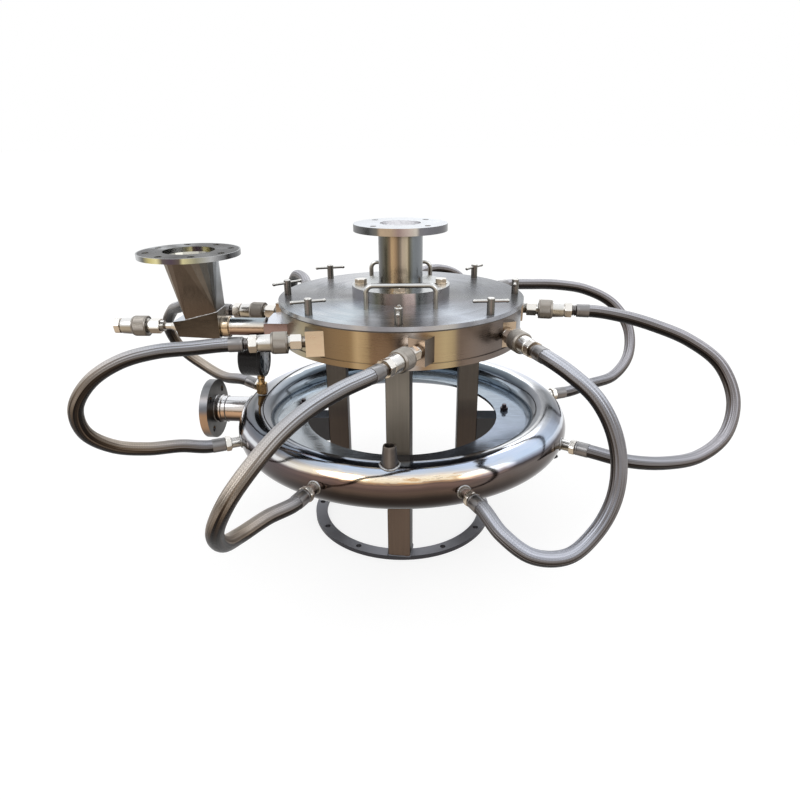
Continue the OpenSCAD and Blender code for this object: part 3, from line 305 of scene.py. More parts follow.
def ring_material():
    """polished manifold with painted reflections: tones run round the tube, from the floor side over the top to
    the plate side
    """
    m = Mat("polished_ring")
    p, n = m.xyz(m.pos), m.xyz(m.nor)
    r, az = m.far(p[0], p[1]), m.turn(p[0], p[1])
    nr = m.f("DIVIDE", m.add(m.mul(n[0], p[0]), m.mul(n[1], p[1])), r)
    phi = m.turn(nr, n[2])
    sn, cs = (m.mul(m.f(op, m.mul(az, TAU)), 4.0) for op in ("SINE", "COSINE"))
    w = m.noise(m.vec(sn, cs, m.mul(phi, 2.0)), 1.0, 3.0, 0.55, 0.4)
    f = m.add(phi, m.swing(w, 0.035))
    # painted reflections at the front of the ring
    front = m.wheel(f, [(0.0, 130, 144, 160), (0.06, 84, 94, 106), (0.14, 56, 56, 60), (0.24, 40, 32, 28),
        (0.40, 40, 32, 26), (0.47, 44, 36, 32), (0.49, 52, 44, 38), (0.525, 86, 70, 60), (0.552, 92, 74, 66),
        (0.572, 118, 94, 84), (0.582, 104, 84, 76), (0.594, 160, 132, 108), (0.602, 238, 218, 184),
        (0.63, 255, 243, 220), (0.64, 232, 224, 214), (0.66, 196, 204, 216), (0.70, 184, 202, 230),
        (0.75, 172, 188, 214), (0.79, 160, 172, 192), (0.815, 90, 96, 104), (0.85, 62, 66, 72),
        (0.875, 84, 90, 98), (0.89, 176, 186, 198), (0.92, 150, 162, 176), (0.94, 80, 88, 100),
        (0.965, 176, 188, 202)])
    side = m.wheel(f, [(0.0, 200, 212, 226), (0.05, 176, 188, 204), (0.1, 110, 118, 130), (0.2, 52, 48, 48),
        (0.42, 74, 66, 64), (0.47, 66, 58, 54), (0.52, 92, 84, 80), (0.555, 106, 98, 94), (0.578, 66, 60, 62),
        (0.60, 150, 156, 172), (0.62, 196, 214, 238), (0.69, 206, 220, 244), (0.72, 234, 240, 252),
        (0.785, 252, 254, 255), (0.798, 116, 124, 132), (0.83, 98, 108, 116), (0.865, 56, 64, 74),
        (0.885, 150, 160, 172), (0.905, 176, 188, 200), (0.925, 84, 96, 106), (0.955, 84, 98, 112),
        (0.98, 120, 134, 150)])
    dim = m.wheel(f, [(0.0, 236, 242, 244), (0.04, 150, 160, 170), (0.2, 50, 48, 48), (0.45, 72, 66, 64),
        (0.55, 88, 82, 84), (0.585, 92, 88, 92), (0.60, 226, 230, 236), (0.618, 216, 220, 228),
        (0.63, 90, 88, 96), (0.67, 52, 50, 54), (0.70, 82, 86, 90), (0.725, 56, 62, 66),
        (0.75, 112, 114, 118), (0.80, 134, 136, 142), (0.85, 98, 102, 108), (0.875, 52, 56, 62),
        (0.9, 110, 114, 120), (0.95, 122, 126, 130), (0.98, 160, 168, 174)])
    aw = m.add(az, m.swing(w, 0.06))
    # painted reflections at the front, others round the rest of the ring
    c = m.mix(front, side, m.ramp(aw, [(0.0, 1.0), (0.14, 0.2), (0.17, 0.0), (0.29, 0.0), (0.345, 1.0),
        (1.0, 1.0)]))
    # dimmer painted reflections at the left and right sides
    c = m.mix(c, dim, m.ramp(aw, [(0.0, 1.0), (0.06, 0.9), (0.13, 0.75), (0.165, 0.45), (0.19, 0.0),
        (0.385, 0.0), (0.45, 0.85), (0.51, 0.9), (0.55, 0.2), (0.6, 0.0), (0.9, 0.1), (1.0, 1.0)]))
    # painted reflection: warm and dark patches in the painted highlight band at the front
    highlight_band_mask = m.mul(m.span(f, 0.578, 0.6), m.span(f, 0.65, 0.628))
    highlight_band_mask = m.mul(highlight_band_mask, m.ramp(az, [(0.17, 0.0), (0.2, 1.0), (0.29, 1.0), (0.33, 0.0)]))
    patch = m.noise(m.vec(m.mul(az, 36.0), m.mul(phi, 60.0), 1.7), 1.0, 4.0, 0.65, 1.2)
    c = m.mix(c, (206, 158, 104), m.mul(highlight_band_mask, m.span(patch, 0.5, 0.62)))
    c = m.mix(c, (132, 84, 62), m.mul(m.mul(highlight_band_mask, m.span(patch, 0.42, 0.34)), 0.7))
    fine = m.noise(m.vec(m.mul(f, 260.0), m.mul(az, 40.0), 0.0), 1.0, 3.0)
    c = m.over(c, fine, [(0.3, 150, 150, 152), (0.7, 226, 228, 232)], 0.22)
    m.finish(c, fine, 0.08, 0.14)


def plate_material():
    m = Mat("plate_mirror", 0.75)
    p, n = m.xyz(m.pos), m.xyz(m.nor)
    a = m.add(m.turn(p[0], p[1]), m.swing(m.noise(m.pos, 7.0, 3.0, 0.5, 0.8), 0.1))
    s = m.noise(m.scaled((30, 300, 1)), 1.0, 3.0)
    # painted reflections round the plate
    c = m.wheel(a, [(0.0, 176, 184, 190), (0.05, 190, 198, 206), (0.1, 184, 190, 196), (0.16, 176, 184, 192),
        (0.2, 120, 126, 132), (0.235, 84, 86, 88), (0.27, 92, 90, 92), (0.33, 100, 106, 116),
        (0.38, 146, 158, 176), (0.44, 156, 168, 186), (0.5, 160, 174, 190), (0.6, 180, 194, 208),
        (0.7, 190, 202, 212), (0.8, 146, 158, 166), (0.9, 206, 216, 224)])
    c = m.over(c, s, [(0.3, 150, 154, 160), (0.7, 230, 234, 240)], 0.2)
    # painted shade on faces not turned up
    c = m.mix(c, (60, 58, 58), m.span(n[2], 0.4, -0.2))
    m.finish(c, s, 0.08, 0.2)


def leg_material():
    """tones change with the height, darker below the ring plate as painted shade under it; the rear legs and the
    faces to the sides are darker, as painted shade
    """
    m = Mat("leg_tube_steel", 0.35, spec=0.25)
    p, n = m.xyz(m.pos), m.xyz(m.nor)
    # darker and browner below the ring plate, darkest just under it: painted shade
    front = m.ramp(p[2], [(0.0, 98, 81, 68), (0.165, 100, 82, 69), (0.19, 76, 66, 60), (0.206, 92, 85, 78),
        (0.215, 128, 119, 108), (0.27, 130, 122, 111), (0.33, 128, 120, 109), (0.365, 122, 114, 104)])
    rear = m.ramp(p[2], [(0.0, 80, 68, 58), (0.18, 62, 54, 48), (0.24, 86, 76, 68), (0.31, 104, 94, 84),
        (0.365, 116, 106, 96)])
    # painted shade on the rear legs
    c = m.mix(front, rear, m.mul(m.span(p[1], -0.05, 0.02), 0.75))
    s = m.noise(m.scaled((260, 260, 9)), 1.0, 4.0, 0.6)
    big = m.noise(m.scaled((18, 18, 6)), 1.0)
    # painted shade on the faces to the sides
    c = m.mix(c, (40, 35, 32), m.span(m.f("ABSOLUTE", n[0]), 0.5, 0.9))
    c = m.over(c, s, [(0.25, 168, 164, 160), (0.75, 240, 238, 234)], 0.25)
    c = m.over(c, big, [(0.3, 176, 172, 168), (0.7, 226, 226, 224)], 0.3)
    m.finish(c, s, 0.42, 0.56, 0.00003)


def duct_material():
    m = Mat("duct_steel")
    p, n = m.xyz(m.pos), m.xyz(m.nor)
    # painted reflections round the duct
    c = m.wheel(m.around(0.012, 12.0), [(0.0, 120, 116, 112), (0.1, 112, 98, 78), (0.17, 92, 78, 66),
        (0.22, 84, 71, 60), (0.25, 88, 75, 63), (0.272, 96, 84, 72), (0.285, 150, 136, 118),
        (0.296, 112, 100, 88), (0.33, 104, 96, 86), (0.36, 92, 88, 82), (0.42, 122, 122, 120),
        (0.5, 140, 146, 152), (0.62, 100, 96, 92), (0.75, 92, 80, 68), (0.88, 110, 104, 98)])
    # darker and browner towards the foot
    c = m.mix(c, (84, 66, 52), m.mul(m.span(p[2], 0.452, 0.42), 0.5))
    s = m.noise(m.scaled((240, 240, 20)), 1.0, 4.0, 0.6)
    c = m.over(c, s, [(0.25, 140, 136, 130), (0.75, 226, 224, 220)], 0.3)
    big = m.noise(m.pos, 16.0, 3.0, 0.5, 0.6)
    c = m.over(c, big, [(0.3, 150, 144, 138), (0.7, 220, 218, 216)], 0.35)
    # painted light on faces turned up, painted shade on faces turned down
    c = m.mix(c, (210, 212, 210), m.span(n[2], 0.45, 0.95))
    c = m.mix(c, (44, 38, 34), m.span(n[2], -0.45, -0.95))
    m.finish(c, s, 0.24, 0.4, 0.00003)


def housing_material():
    """folded sheet with painted reflections: dark brown sides, light sloping far end from painted light on faces
    turned up, painted shade underneath, painted light inside
    """
    m = Mat("housing_steel")
    p, n = m.xyz(m.pos), m.xyz(m.nor)
    # painted reflections round the box
    c = m.wheel(m.around(0.02, 12.0), [(0.0, 196, 204, 214), (0.08, 186, 178, 160), (0.16, 96, 82, 68),
        (0.22, 74, 62, 52), (0.25, 80, 68, 56), (0.3, 90, 78, 66), (0.42, 120, 116, 110),
        (0.5, 150, 150, 150), (0.75, 110, 100, 90)])
    # painted light on faces turned up, painted shade on faces turned down
    c = m.mix(c, (206, 214, 224), m.span(n[2], 0.3, 0.8))
    c = m.mix(c, (44, 36, 30), m.span(n[2], -0.3, -0.9))
    # painted light on the inside faces, those turned to the middle
    middle = (0.332, 0.0677, -0.3985)
    out = [m.mul(n[i], m.add(p[i], middle[i])) for i in range(3)]
    c = m.mix(c, (236, 236, 226), m.f("LESS_THAN", m.add(m.add(out[0], out[1]), out[2]), 0.0))
    s = m.noise(m.scaled((60, 60, 240)), 1.0, 4.0, 0.6)
    c = m.over(c, s, [(0.25, 132, 128, 122), (0.75, 236, 234, 230)], 0.3)
    big = m.noise(m.pos, 18.0, 3.0, 0.5, 0.6)
    c = m.over(c, big, [(0.3, 140, 134, 128), (0.7, 226, 224, 220)], 0.35)
    m.finish(c, s, 0.24, 0.4, 0.00003)


def hopper_flange_material():
    """a dark machined top with painted highlight streaks, a painted highlight on its rim and painted shade round
    the bore, bright metal sides with painted reflections
    """
    m = Mat("hopper_flange_steel", spec=0.06)
    p, n = m.xyz(m.pos), m.xyz(m.nor)
    w = m.noise(m.pos, 11.0, 3.0, 0.55, 0.8)
    x, y = m.add(p[0], 0.336), m.add(p[1], 0.0675)
    r = m.far(x, y)
    # dark top with painted highlight streaks
    top = m.wheel(m.add(m.turn(x, y), m.swing(w, 0.12)), [(0.0, 52, 54, 60), (0.08, 30, 31, 34),
        (0.14, 60, 60, 62), (0.2, 40, 38, 38), (0.3, 24, 23, 24), (0.36, 80, 82, 84), (0.41, 26, 26, 28),
        (0.5, 34, 35, 38), (0.58, 70, 72, 76), (0.64, 26, 26, 28), (0.76, 30, 31, 34), (0.82, 150, 154, 158),
        (0.86, 40, 42, 46), (0.93, 170, 174, 178), (0.96, 48, 50, 54)])
    # painted highlight on the rim
    top = m.mix(top, (206, 210, 212), m.mul(m.span(r, 0.0772, 0.0782), 0.7))
    # painted shade round the bore
    top = m.mix(top, (14, 14, 16), m.mul(m.span(r, 0.046, 0.043), 0.8))
    # painted reflections round the sides
    side = m.wheel(m.around(0.03, 9.0), [(0.0, 150, 152, 154), (0.1, 176, 178, 180), (0.14, 100, 98, 92),
        (0.17, 190, 178, 120), (0.2, 222, 212, 160), (0.22, 96, 86, 84), (0.25, 84, 70, 78),
        (0.275, 96, 84, 76), (0.285, 206, 196, 150), (0.32, 150, 146, 124), (0.36, 176, 176, 176),
        (0.42, 104, 104, 106), (0.5, 90, 92, 94), (0.7, 170, 160, 140), (0.85, 110, 110, 112)])
    c = m.mix(side, top, m.span(n[2], 0.5, 0.9))
    # painted shade on faces turned down
    c = m.mix(c, (54, 48, 44), m.span(n[2], -0.4, -0.9))
    m.set("Metallic", m.span(n[2], 0.5, 0.9, 1.0, 0.0))
    m.finish(c, w, 0.18, 0.32)


def braid_material(name, tint, start):
    """woven wire: two families of strands that cross, made from the hose's own length and turn; painted light on
    top, painted shade underneath and painted reflection streaks along the hose
    """
    m = Mat(name, 0.9, 0.36)
    strands, pitch = 24.0, 260.0
    turn, run = m.xyz(m.n("UVMap", uv_map="along").outputs[0])[:2]
    a, b = m.mul(turn, strands), m.mul(run, pitch)
    k1, k2 = m.f("FRACT", m.add(a, b)), m.f("FRACT", m.f("SUBTRACT", a, b))
    h1, h2 = (m.f("SINE", m.mul(k, pi)) for k in (k1, k2))
    over = m.f("GREATER_THAN", m.f("SINE", m.mul(run, pitch * TAU)), m.f("SINE", m.mul(turn, strands * TAU)))
    h = m.add(m.mul(h1, over), m.mul(h2, m.f("SUBTRACT", 1.0, over)))
    h = m.add(h, m.mul(m.f("SINE", m.mul(m.add(k1, k2), 5 * pi)), 0.12))
    cs, sn = (m.mul(m.f(op, m.mul(turn, TAU)), 4.6) for op in ("COSINE", "SINE"))
    # painted reflection streaks along the hose
    streak = m.noise(m.vec(cs, sn, m.mul(run, 2.4)), 1.0)
    # painted light on top and painted shade underneath, broken by the streaks
    f = m.add(m.f("SUBTRACT", m.mul(m.xyz(m.nor)[2], 1.1), 0.1), m.swing(streak, 1.9))
    c = m.ramp(m.span(f, -1.0, 1.0), [(0.0, 14, 10, 8), (0.24, 20, 15, 11), (0.34, 36, 28, 22),
        (0.44, 70, 61, 53), (0.52, 112, 104, 97), (0.60, 140, 136, 134), (0.67, 110, 106, 104),
        (0.76, 150, 150, 152), (0.86, 196, 198, 204), (0.93, 214, 216, 222), (1.0, 176, 178, 182)])
    hue = m.ramp(m.span(run, 0.0, 0.5), [(0.2, *start), (0.45, *tint), (0.8, *tint), (1.0, 214, 214, 218)])
    c = m.mix(c, hue, 1.0, "MULTIPLY")
    c = m.over(c, h, [(0.0, 96, 92, 88), (0.45, 176, 176, 176), (1.0, 246, 246, 246)], 0.36)
    m.set("Base Color", c)
    m.bump(h, 0.00035, 0.8)


def plain(name, c, rough=0.5, amount=0.25, spec=0.5):
    """paint, rubber or print"""
    m = Mat(name, 0.0, rough, spec)
    s, big = m.noise(m.pos, 300.0, 3.0), m.noise(m.pos, 22.0)
    both = m.add(m.mul(s, 0.5), m.mul(big, 0.5))
    c = m.over(c, both, [(0.3, 120, 120, 120), (0.7, 236, 236, 236)], amount)
    m.finish(c, s, rough * 0.8, min(1.0, rough * 1.2), 0.00002)


def glass():
    m = Mat("gauge_glass", 0.0)
    m.set("Transmission Weight", 1.0)
    m.set("IOR", 1.2)
    dust = m.noise(m.pos, 60.0, 3.0)
    m.finish(m.mix((236, 240, 244), (250, 252, 255), dust), dust, 0.03, 0.1)


# painted reflections: tones round the body, the outlet tube and the flanges
BODY_REFLECTIONS = [(0.0, 104, 100, 96), (0.06, 150, 146, 138), (0.12, 158, 146, 119), (0.155, 121, 98, 72),
    (0.19, 138, 111, 78), (0.198, 182, 154, 114), (0.21, 170, 142, 104), (0.216, 130, 102, 76),
    (0.24, 116, 92, 70), (0.262, 168, 158, 150), (0.275, 140, 112, 84), (0.30, 176, 154, 116),
    (0.311, 170, 148, 112), (0.318, 122, 104, 90), (0.35, 118, 106, 98), (0.39, 108, 98, 92),
    (0.42, 104, 96, 90), (0.46, 150, 156, 164), (0.5, 112, 110, 112), (0.6, 150, 140, 124),
    (0.66, 104, 90, 76), (0.74, 160, 140, 112), (0.82, 96, 88, 82), (0.9, 150, 148, 146)]
TUBE = [(0.0, 104, 102, 100), (0.08, 92, 91, 88), (0.115, 97, 94, 84), (0.15, 100, 92, 74),
    (0.172, 122, 102, 82), (0.184, 178, 150, 114), (0.2, 174, 146, 112), (0.217, 150, 124, 96),
    (0.235, 108, 93, 76), (0.25, 131, 118, 104), (0.262, 174, 158, 138), (0.297, 182, 168, 144),
    (0.309, 104, 94, 74), (0.32, 98, 97, 87), (0.345, 116, 120, 122), (0.4, 120, 124, 128),
    (0.5, 116, 118, 120), (0.58, 150, 150, 150), (0.64, 108, 96, 84), (0.7, 170, 154, 130),
    (0.78, 112, 104, 96), (0.88, 140, 140, 142)]
RIM = [(0.0, 98, 98, 100), (0.15, 99, 99, 98), (0.172, 112, 108, 100), (0.185, 176, 154, 130),
    (0.22, 172, 150, 126), (0.245, 150, 128, 122), (0.275, 184, 168, 158), (0.3, 196, 188, 176),
    (0.312, 120, 118, 120), (0.33, 114, 113, 118), (0.45, 104, 104, 106), (0.6, 150, 140, 124),
    (0.75, 110, 106, 104), (0.9, 160, 160, 162)]
# each call gives painted reflections round the axis, then painted light for faces turned up and painted shade
# for faces turned down
steel("turned_body", BODY_REFLECTIONS, (150, 150, 152), (46, 42, 40), grain=(6, 6, 700), wear=0.1, rough=(0.24, 0.38),
    wob=0.006)
# the outlet tube's bore gets painted light inside
steel("outlet_steel", TUBE, (190, 192, 196), (70, 64, 60), grain=(500, 500, 10), wear=0.08, wob=0.006,
    rough=(0.2, 0.32), painted_inner_light=(252, 252, 254))
# the flanges' faces turned to the axis get painted light
steel("flange_steel", RIM, (222, 227, 234), (84, 78, 74), grain=90, wear=0.16, rough=(0.2, 0.36),
    painted_inner_light=(250, 250, 252))
steel("foot_steel", [(0.0, 150, 150, 152), (0.12, 188, 186, 192), (0.17, 114, 110, 94), (0.21, 146, 126, 116),
    (0.25, 168, 158, 150), (0.262, 236, 214, 204), (0.288, 230, 206, 196), (0.296, 120, 122, 118),
    (0.33, 114, 112, 110), (0.38, 176, 172, 172), (0.5, 140, 142, 146), (0.7, 120, 108, 96),
    (0.85, 170, 170, 172)], (204, 208, 210), (60, 56, 54), grain=80, wear=0.14)
steel("bracket_steel", [(0.0, 64, 60, 58), (0.25, 58, 55, 54), (0.5, 60, 56, 54)], (176, 180, 188),
    (40, 36, 34), grain=90, rough=(0.4, 0.55), metal=0.3)
steel("base_steel", [(0.0, 60, 60, 64), (0.25, 66, 64, 66), (0.5, 58, 58, 64)], (146, 147, 154), (40, 38, 38),
    grain=40, wear=0.2, rough=(0.34, 0.5), spots=0.3)
steel("fitting_steel", [(0.0, 150, 144, 132), (0.2, 168, 152, 128), (0.3, 150, 138, 122),
    (0.45, 120, 114, 108), (0.6, 140, 132, 122), (0.8, 160, 152, 140)], (238, 238, 238), (70, 60, 52),
    mid=(206, 204, 198), grain=120, rough=(0.18, 0.32))
steel("socket_steel", [(0.0, 92, 86, 80), (0.2, 98, 88, 80), (0.25, 116, 106, 98), (0.3, 88, 80, 74),
    (0.5, 76, 72, 70)], (150, 142, 136), (48, 42, 38), grain=180, wear=0.3, rough=(0.3, 0.46), spots=0.4)
steel("nut_steel", [(0.0, 196, 182, 162), (0.25, 190, 170, 146), (0.5, 150, 140, 128)], (248, 246, 242),
    (96, 80, 64), mid=(226, 222, 214), grain=120, rough=(0.16, 0.3))
steel("block_steel", [(0.0, 180, 166, 150), (0.12, 164, 142, 122), (0.2, 164, 142, 122),
    (0.23, 214, 186, 154), (0.285, 214, 186, 154), (0.3, 170, 150, 128), (0.35, 104, 94, 86),
    (0.5, 84, 78, 72), (0.7, 150, 140, 126), (1.0, 170, 158, 146)], (196, 194, 190), (60, 50, 44),
    grain=(60, 60, 160), wear=0.14, rough=(0.24, 0.38))
steel("sleeve_steel", [(0.0, 128, 120, 110), (0.25, 134, 122, 108), (0.5, 110, 106, 102)], (178, 174, 168),
    (74, 64, 54), mid=(166, 158, 150), grain=160, rough=(0.42, 0.56))
steel("ferrule_steel", [(0.0, 118, 110, 104), (0.25, 122, 112, 104), (0.5, 108, 106, 106)], (150, 150, 152),
    (36, 32, 28), mid=(122, 118, 116), grain=80, wear=0.1, rough=(0.26, 0.4))
steel("bolt_steel", [(0.0, 120, 116, 110), (0.2, 116, 110, 102), (0.25, 126, 112, 104), (0.3, 96, 92, 84),
    (0.5, 110, 106, 100), (0.75, 150, 146, 140)], (226, 226, 224), (64, 58, 52), mid=(190, 188, 184),
    grain=150, rough=(0.2, 0.34))
steel("dark_bolt_steel", [(0.0, 52, 46, 48), (1.0, 60, 50, 50)], (96, 88, 92), (30, 26, 26), wear=0.1,
    rough=(0.3, 0.42))
steel("handle_steel", [(0.0, 150, 146, 140), (0.25, 168, 158, 142), (0.5, 140, 138, 136),
    (0.75, 160, 156, 150)], (226, 228, 230), (84, 76, 68), mid=(206, 206, 204), wear=0.08, rough=(0.14, 0.24))
steel("inlet_steel", [(0.0, 210, 214, 220), (0.1, 60, 56, 52), (0.22, 160, 126, 98), (0.26, 196, 156, 122),
    (0.3, 150, 116, 90), (0.4, 72, 68, 66), (0.5, 80, 78, 74), (0.7, 150, 150, 150)], (240, 242, 246),
    (44, 34, 30), mid=(196, 182, 168), wear=0.1, rough=(0.16, 0.3), low=(-0.02, 0.45))
steel("inlet_flange_steel", [(0.0, 104, 106, 112), (0.17, 92, 90, 90), (0.22, 150, 118, 92),
    (0.25, 176, 140, 108), (0.29, 100, 90, 82), (0.42, 62, 60, 56), (0.55, 60, 58, 56),
    (0.75, 130, 130, 134)], (140, 142, 146), (66, 60, 56), mid=(116, 116, 120), wear=0.2, grain=50,
    rough=(0.3, 0.44))
steel("feed_steel", [(0.0, 170, 140, 112), (0.25, 190, 156, 126), (0.5, 150, 126, 104)], (168, 180, 188),
    (84, 58, 46), mid=(236, 224, 208), wear=0.08, grain=90, rough=(0.2, 0.32), low=(-0.02, 0.55))
steel("feed_block_steel", [(0.0, 140, 122, 108), (0.2, 142, 114, 102), (0.25, 150, 122, 112),
    (0.3, 128, 112, 96), (0.5, 110, 100, 92)], (226, 232, 244), (60, 50, 44), wear=0.1, rough=(0.2, 0.34))
steel("collar_steel", [(0.0, 150, 118, 84), (0.25, 196, 164, 126), (0.5, 140, 112, 84)], (214, 204, 190),
    (70, 50, 36), mid=(206, 178, 142), wear=0.08, rough=(0.18, 0.3))
steel("dark_neck_steel", [(0.0, 60, 54, 50), (0.25, 64, 56, 52)], (150, 148, 148), (30, 26, 24),
    mid=(96, 92, 90), wear=0.1, rough=(0.2, 0.3))
steel("brass_fitting", [(0.0, 150, 118, 74), (0.2, 176, 140, 92), (0.27, 214, 176, 124), (0.33, 120, 88, 56),
    (0.5, 134, 104, 70), (0.8, 176, 140, 92)], (220, 196, 150), (74, 54, 34), rough=(0.22, 0.34))
steel("weld_steel", [(0.0, 130, 126, 120), (0.25, 120, 110, 98), (0.5, 110, 106, 104)], (190, 192, 196),
    (60, 54, 50), wear=0.35, grain=220, rough=(0.25, 0.45), spots=0.4)
# painted light: the chute's inside near white all round
steel("duct_inside_steel", [(0.0, 236, 238, 240), (0.2, 176, 174, 168), (0.3, 214, 212, 200),
    (0.5, 150, 150, 148), (0.75, 250, 250, 250)], (250, 250, 250), (120, 118, 112), wear=0.1,
    rough=(0.14, 0.24))
for make_material in (lid_material, ring_material, plate_material, leg_material, duct_material,
                      housing_material, hopper_flange_material, glass):
    make_material()
braid_material("wire_braid_warm", (240, 224, 204), (236, 238, 242))
braid_material("wire_braid_cool", (240, 242, 250), (244, 246, 252))
braid_material("wire_braid_plain", (226, 222, 224), (224, 222, 224))
plain("gauge_black", (20, 16, 14), 0.3, spec=0.22)
plain("dial_white", (176, 178, 180), amount=0.08, spec=0.2)
plain("dial_ink", (28, 28, 30))
plain("gasket_grey", (88, 78, 68), 0.6)
plain("drain_plug_black", (30, 26, 26))


# ---------------------------------------------------------------- mesh helpers, in millimetres
def T(x, y, z):
    return Matrix.Translation((x, y, z))


def R(deg, axis):
    return Matrix.Rotation(radians(deg), 4, axis)


# turns what stands on Z to lie along X, with its first point on Y
ALONG_X = Matrix(((0, 0, 1, 0), (1, 0, 0, 0), (0, 1, 0, 0), (0, 0, 0, 1)))


def circle(r, z, n, m=Matrix()):
    return [tuple(m @ Vector((r * cos(TAU * k / n), r * sin(TAU * k / n), z))) for k in range(n)]


def soft(pts, r=0.8, closed=True, n=3):
    """rounds the corners of an outline"""
    out, k = [], len(pts)
    for i, p in enumerate(pts):
        if not closed and i in (0, k - 1):
            out.append(p)
            continue
        a, b, c = Vector(pts[i - 1]), Vector(p), Vector(pts[(i + 1) % k])
        u, v = a - b, c - b
        if u.length < 1e-6 or v.length < 1e-6 or u.angle(v) > radians(158):
            out.append(tuple(b))
            continue
        d = min(r, u.length * 0.45, v.length * 0.45)
        p0, p2 = b + u.normalized() * d, b + v.normalized() * d
        for j in range(n):
            t = j / (n - 1)
            out.append(tuple(p0 * (1 - t) ** 2 + b * 2 * t * (1 - t) + p2 * t * t))
    return out


def rod(pts, seg, radius, level=False, closed=False):
    """vertices and faces of a round rod along points; radius(point number) is asked once for every vertex"""
    P = [Vector(p) for p in pts]
    n = len(P)
    if closed:
        tan = [(P[(i + 1) % n] - P[i - 1]).normalized() for i in range(n)]
    else:
        tan = [(P[min(i + 1, n - 1)] - P[max(i - 1, 0)]).normalized() for i in range(n)]
    side = (tan[0].cross(Vector((0, 0, 1))) if level else tan[0].orthogonal()).normalized()
    v, f = [], []
    for i, t in enumerate(tan):
        side = (side - t * side.dot(t)).normalized()
        up = t.cross(side)
        for j in range(seg):
            a, w = TAU * j / seg, radius(i)
            v.append(tuple(P[i] + side * (w * cos(a)) + up * (w * sin(a))))
    for i in range(n if closed else n - 1):
        o, p = i * seg, ((i + 1) % n) * seg
        f += [(o + j, o + (j + 1) % seg, p + (j + 1) % seg, p + j) for j in range(seg)]
    if not closed:
        f += [tuple(range(seg - 1, -1, -1)), tuple(range((n - 1) * seg, n * seg))]
    return v, f


def mesh(name, v, f, mats):
    me = bpy.data.meshes.new(name)
    me.from_pydata([(x * 0.001, y * 0.001, z * 0.001) for x, y, z in v], [], f)
    for q in mats.split():
        me.materials.append(MAT[q])
    return me


def sharp(me, angle):
    me.shade_smooth()
    me.set_sharp_from_angle(angle=radians(angle))


def piece(name, data, rep=None, body="frame", world=None):
    """an object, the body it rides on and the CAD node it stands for"""
    o = bpy.data.objects.new(name, data)
    scene.collection.objects.link(o)
    if world:
        o.matrix_world = world
    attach(o, body)
    if rep:
        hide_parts(rep)
    return o


class Geo:
    """gathers faces and makes one piece of them; mi is the number of a face's material"""
    def __init__(s):
        s.v, s.f, s.mi = [], [], []

    def add(s, v, f, m=None, mi=0):
        k = len(s.v)
        s.v += [tuple((m @ Vector(p)) if m else p) for p in v]
        s.f += [tuple(i + k for i in q) for q in f]
        s.mi += [mi] * len(f)
        return s

    def lathe(s, prof, seg=64, m=None, closed=True, mi=0, wave=None):
        """a profile of (radius, height) turned about Z; wave(angle, radius, height) may change the radius"""
        v, f, n = [], [], len(prof)
        for j in range(seg):
            a = TAU * j / seg
            for r, z in prof:
                q = wave(a, r, z) if wave else r
                v.append((q * cos(a), q * sin(a), z))
        for j in range(seg):
            o, p = j * n, ((j + 1) % seg) * n
            for i in range(n if closed else n - 1):
                i2 = (i + 1) % n
                if prof[i][0] < 1e-6:
                    f.append((o + i, p + i2, o + i2))
                elif prof[i2][0] < 1e-6:
                    f.append((o + i, p + i, o + i2))
                else:
                    f.append((o + i, p + i, p + i2, o + i2))
        return s.add(v, f, m, mi)

    def solid(s, prof, c, seg, m):
        """an open profile from axis to axis with its corners rounded, turned about Z"""
        return s.lathe(soft(prof, c, closed=False), seg, m, closed=False)

    def turned(s, prof, m, seg=40, c=0.5, mi=0, closed=False):
        """a profile of (place, radius) turned about X"""
        return s.lathe(soft([(r, x) for x, r in prof], c, closed=closed), seg, m @ R(90, "Y"), closed=closed,
            mi=mi)

    def hexa(s, a, b, r, m, hole=5.0, c=1.3, mi=0, turn=0.0):
        """a hexagonal nut along X with rounded-off corners at both faces"""
        prof = [(hole, a), (r * 0.92, a), (r * 0.975, a + c * 0.45), (r * 1.2, a + c)]
        prof += [(r * 1.2, b - c), (r * 0.975, b - c * 0.45), (r * 0.92, b), (hole, b)]
        n, v, f, seg = len(prof), [], [], 48
        for j in range(seg):
            t = TAU * j / seg
            flat = r * cos(TAU / 12) / cos((t + turn) % (TAU / 6) - TAU / 12)
            v += [(z, min(flat, q) * cos(t), min(flat, q) * sin(t)) for q, z in prof]
            o, p = j * n, ((j + 1) % seg) * n
            f += [(o + i, o + (i + 1) % n, p + (i + 1) % n, p + i) for i in range(n)]
        return s.add(v, f, m, mi)

    def stack(s, rings, m):
        """outlines one above the other, closed at both ends"""
        n = len(rings[0])
        f = []
        for o in range(0, (len(rings) - 1) * n, n):
            f += [(o + i, o + (i + 1) % n, o + n + (i + 1) % n, o + n + i) for i in range(n)]
        f += [tuple(range(n - 1, -1, -1)), tuple(range((len(rings) - 1) * n, len(rings) * n))]
        return s.add([p for q in rings for p in q], f, m)

    def make(s, name, mats, slot, rep=None, body="frame", angle=38):
        me = mesh(name, s.v, s.f, mats)
        me.validate()
        if len(me.materials) > 1 and len(me.polygons) == len(s.mi):
            me.polygons.foreach_set("material_index", s.mi)
        bm = bmesh.new()
        bm.from_mesh(me)
        bmesh.ops.remove_doubles(bm, verts=bm.verts, dist=1e-7)
        bmesh.ops.recalc_face_normals(bm, faces=bm.faces)
        bm.to_mesh(me)
        bm.free()
        sharp(me, angle)
        piece(name, me, rep, body)


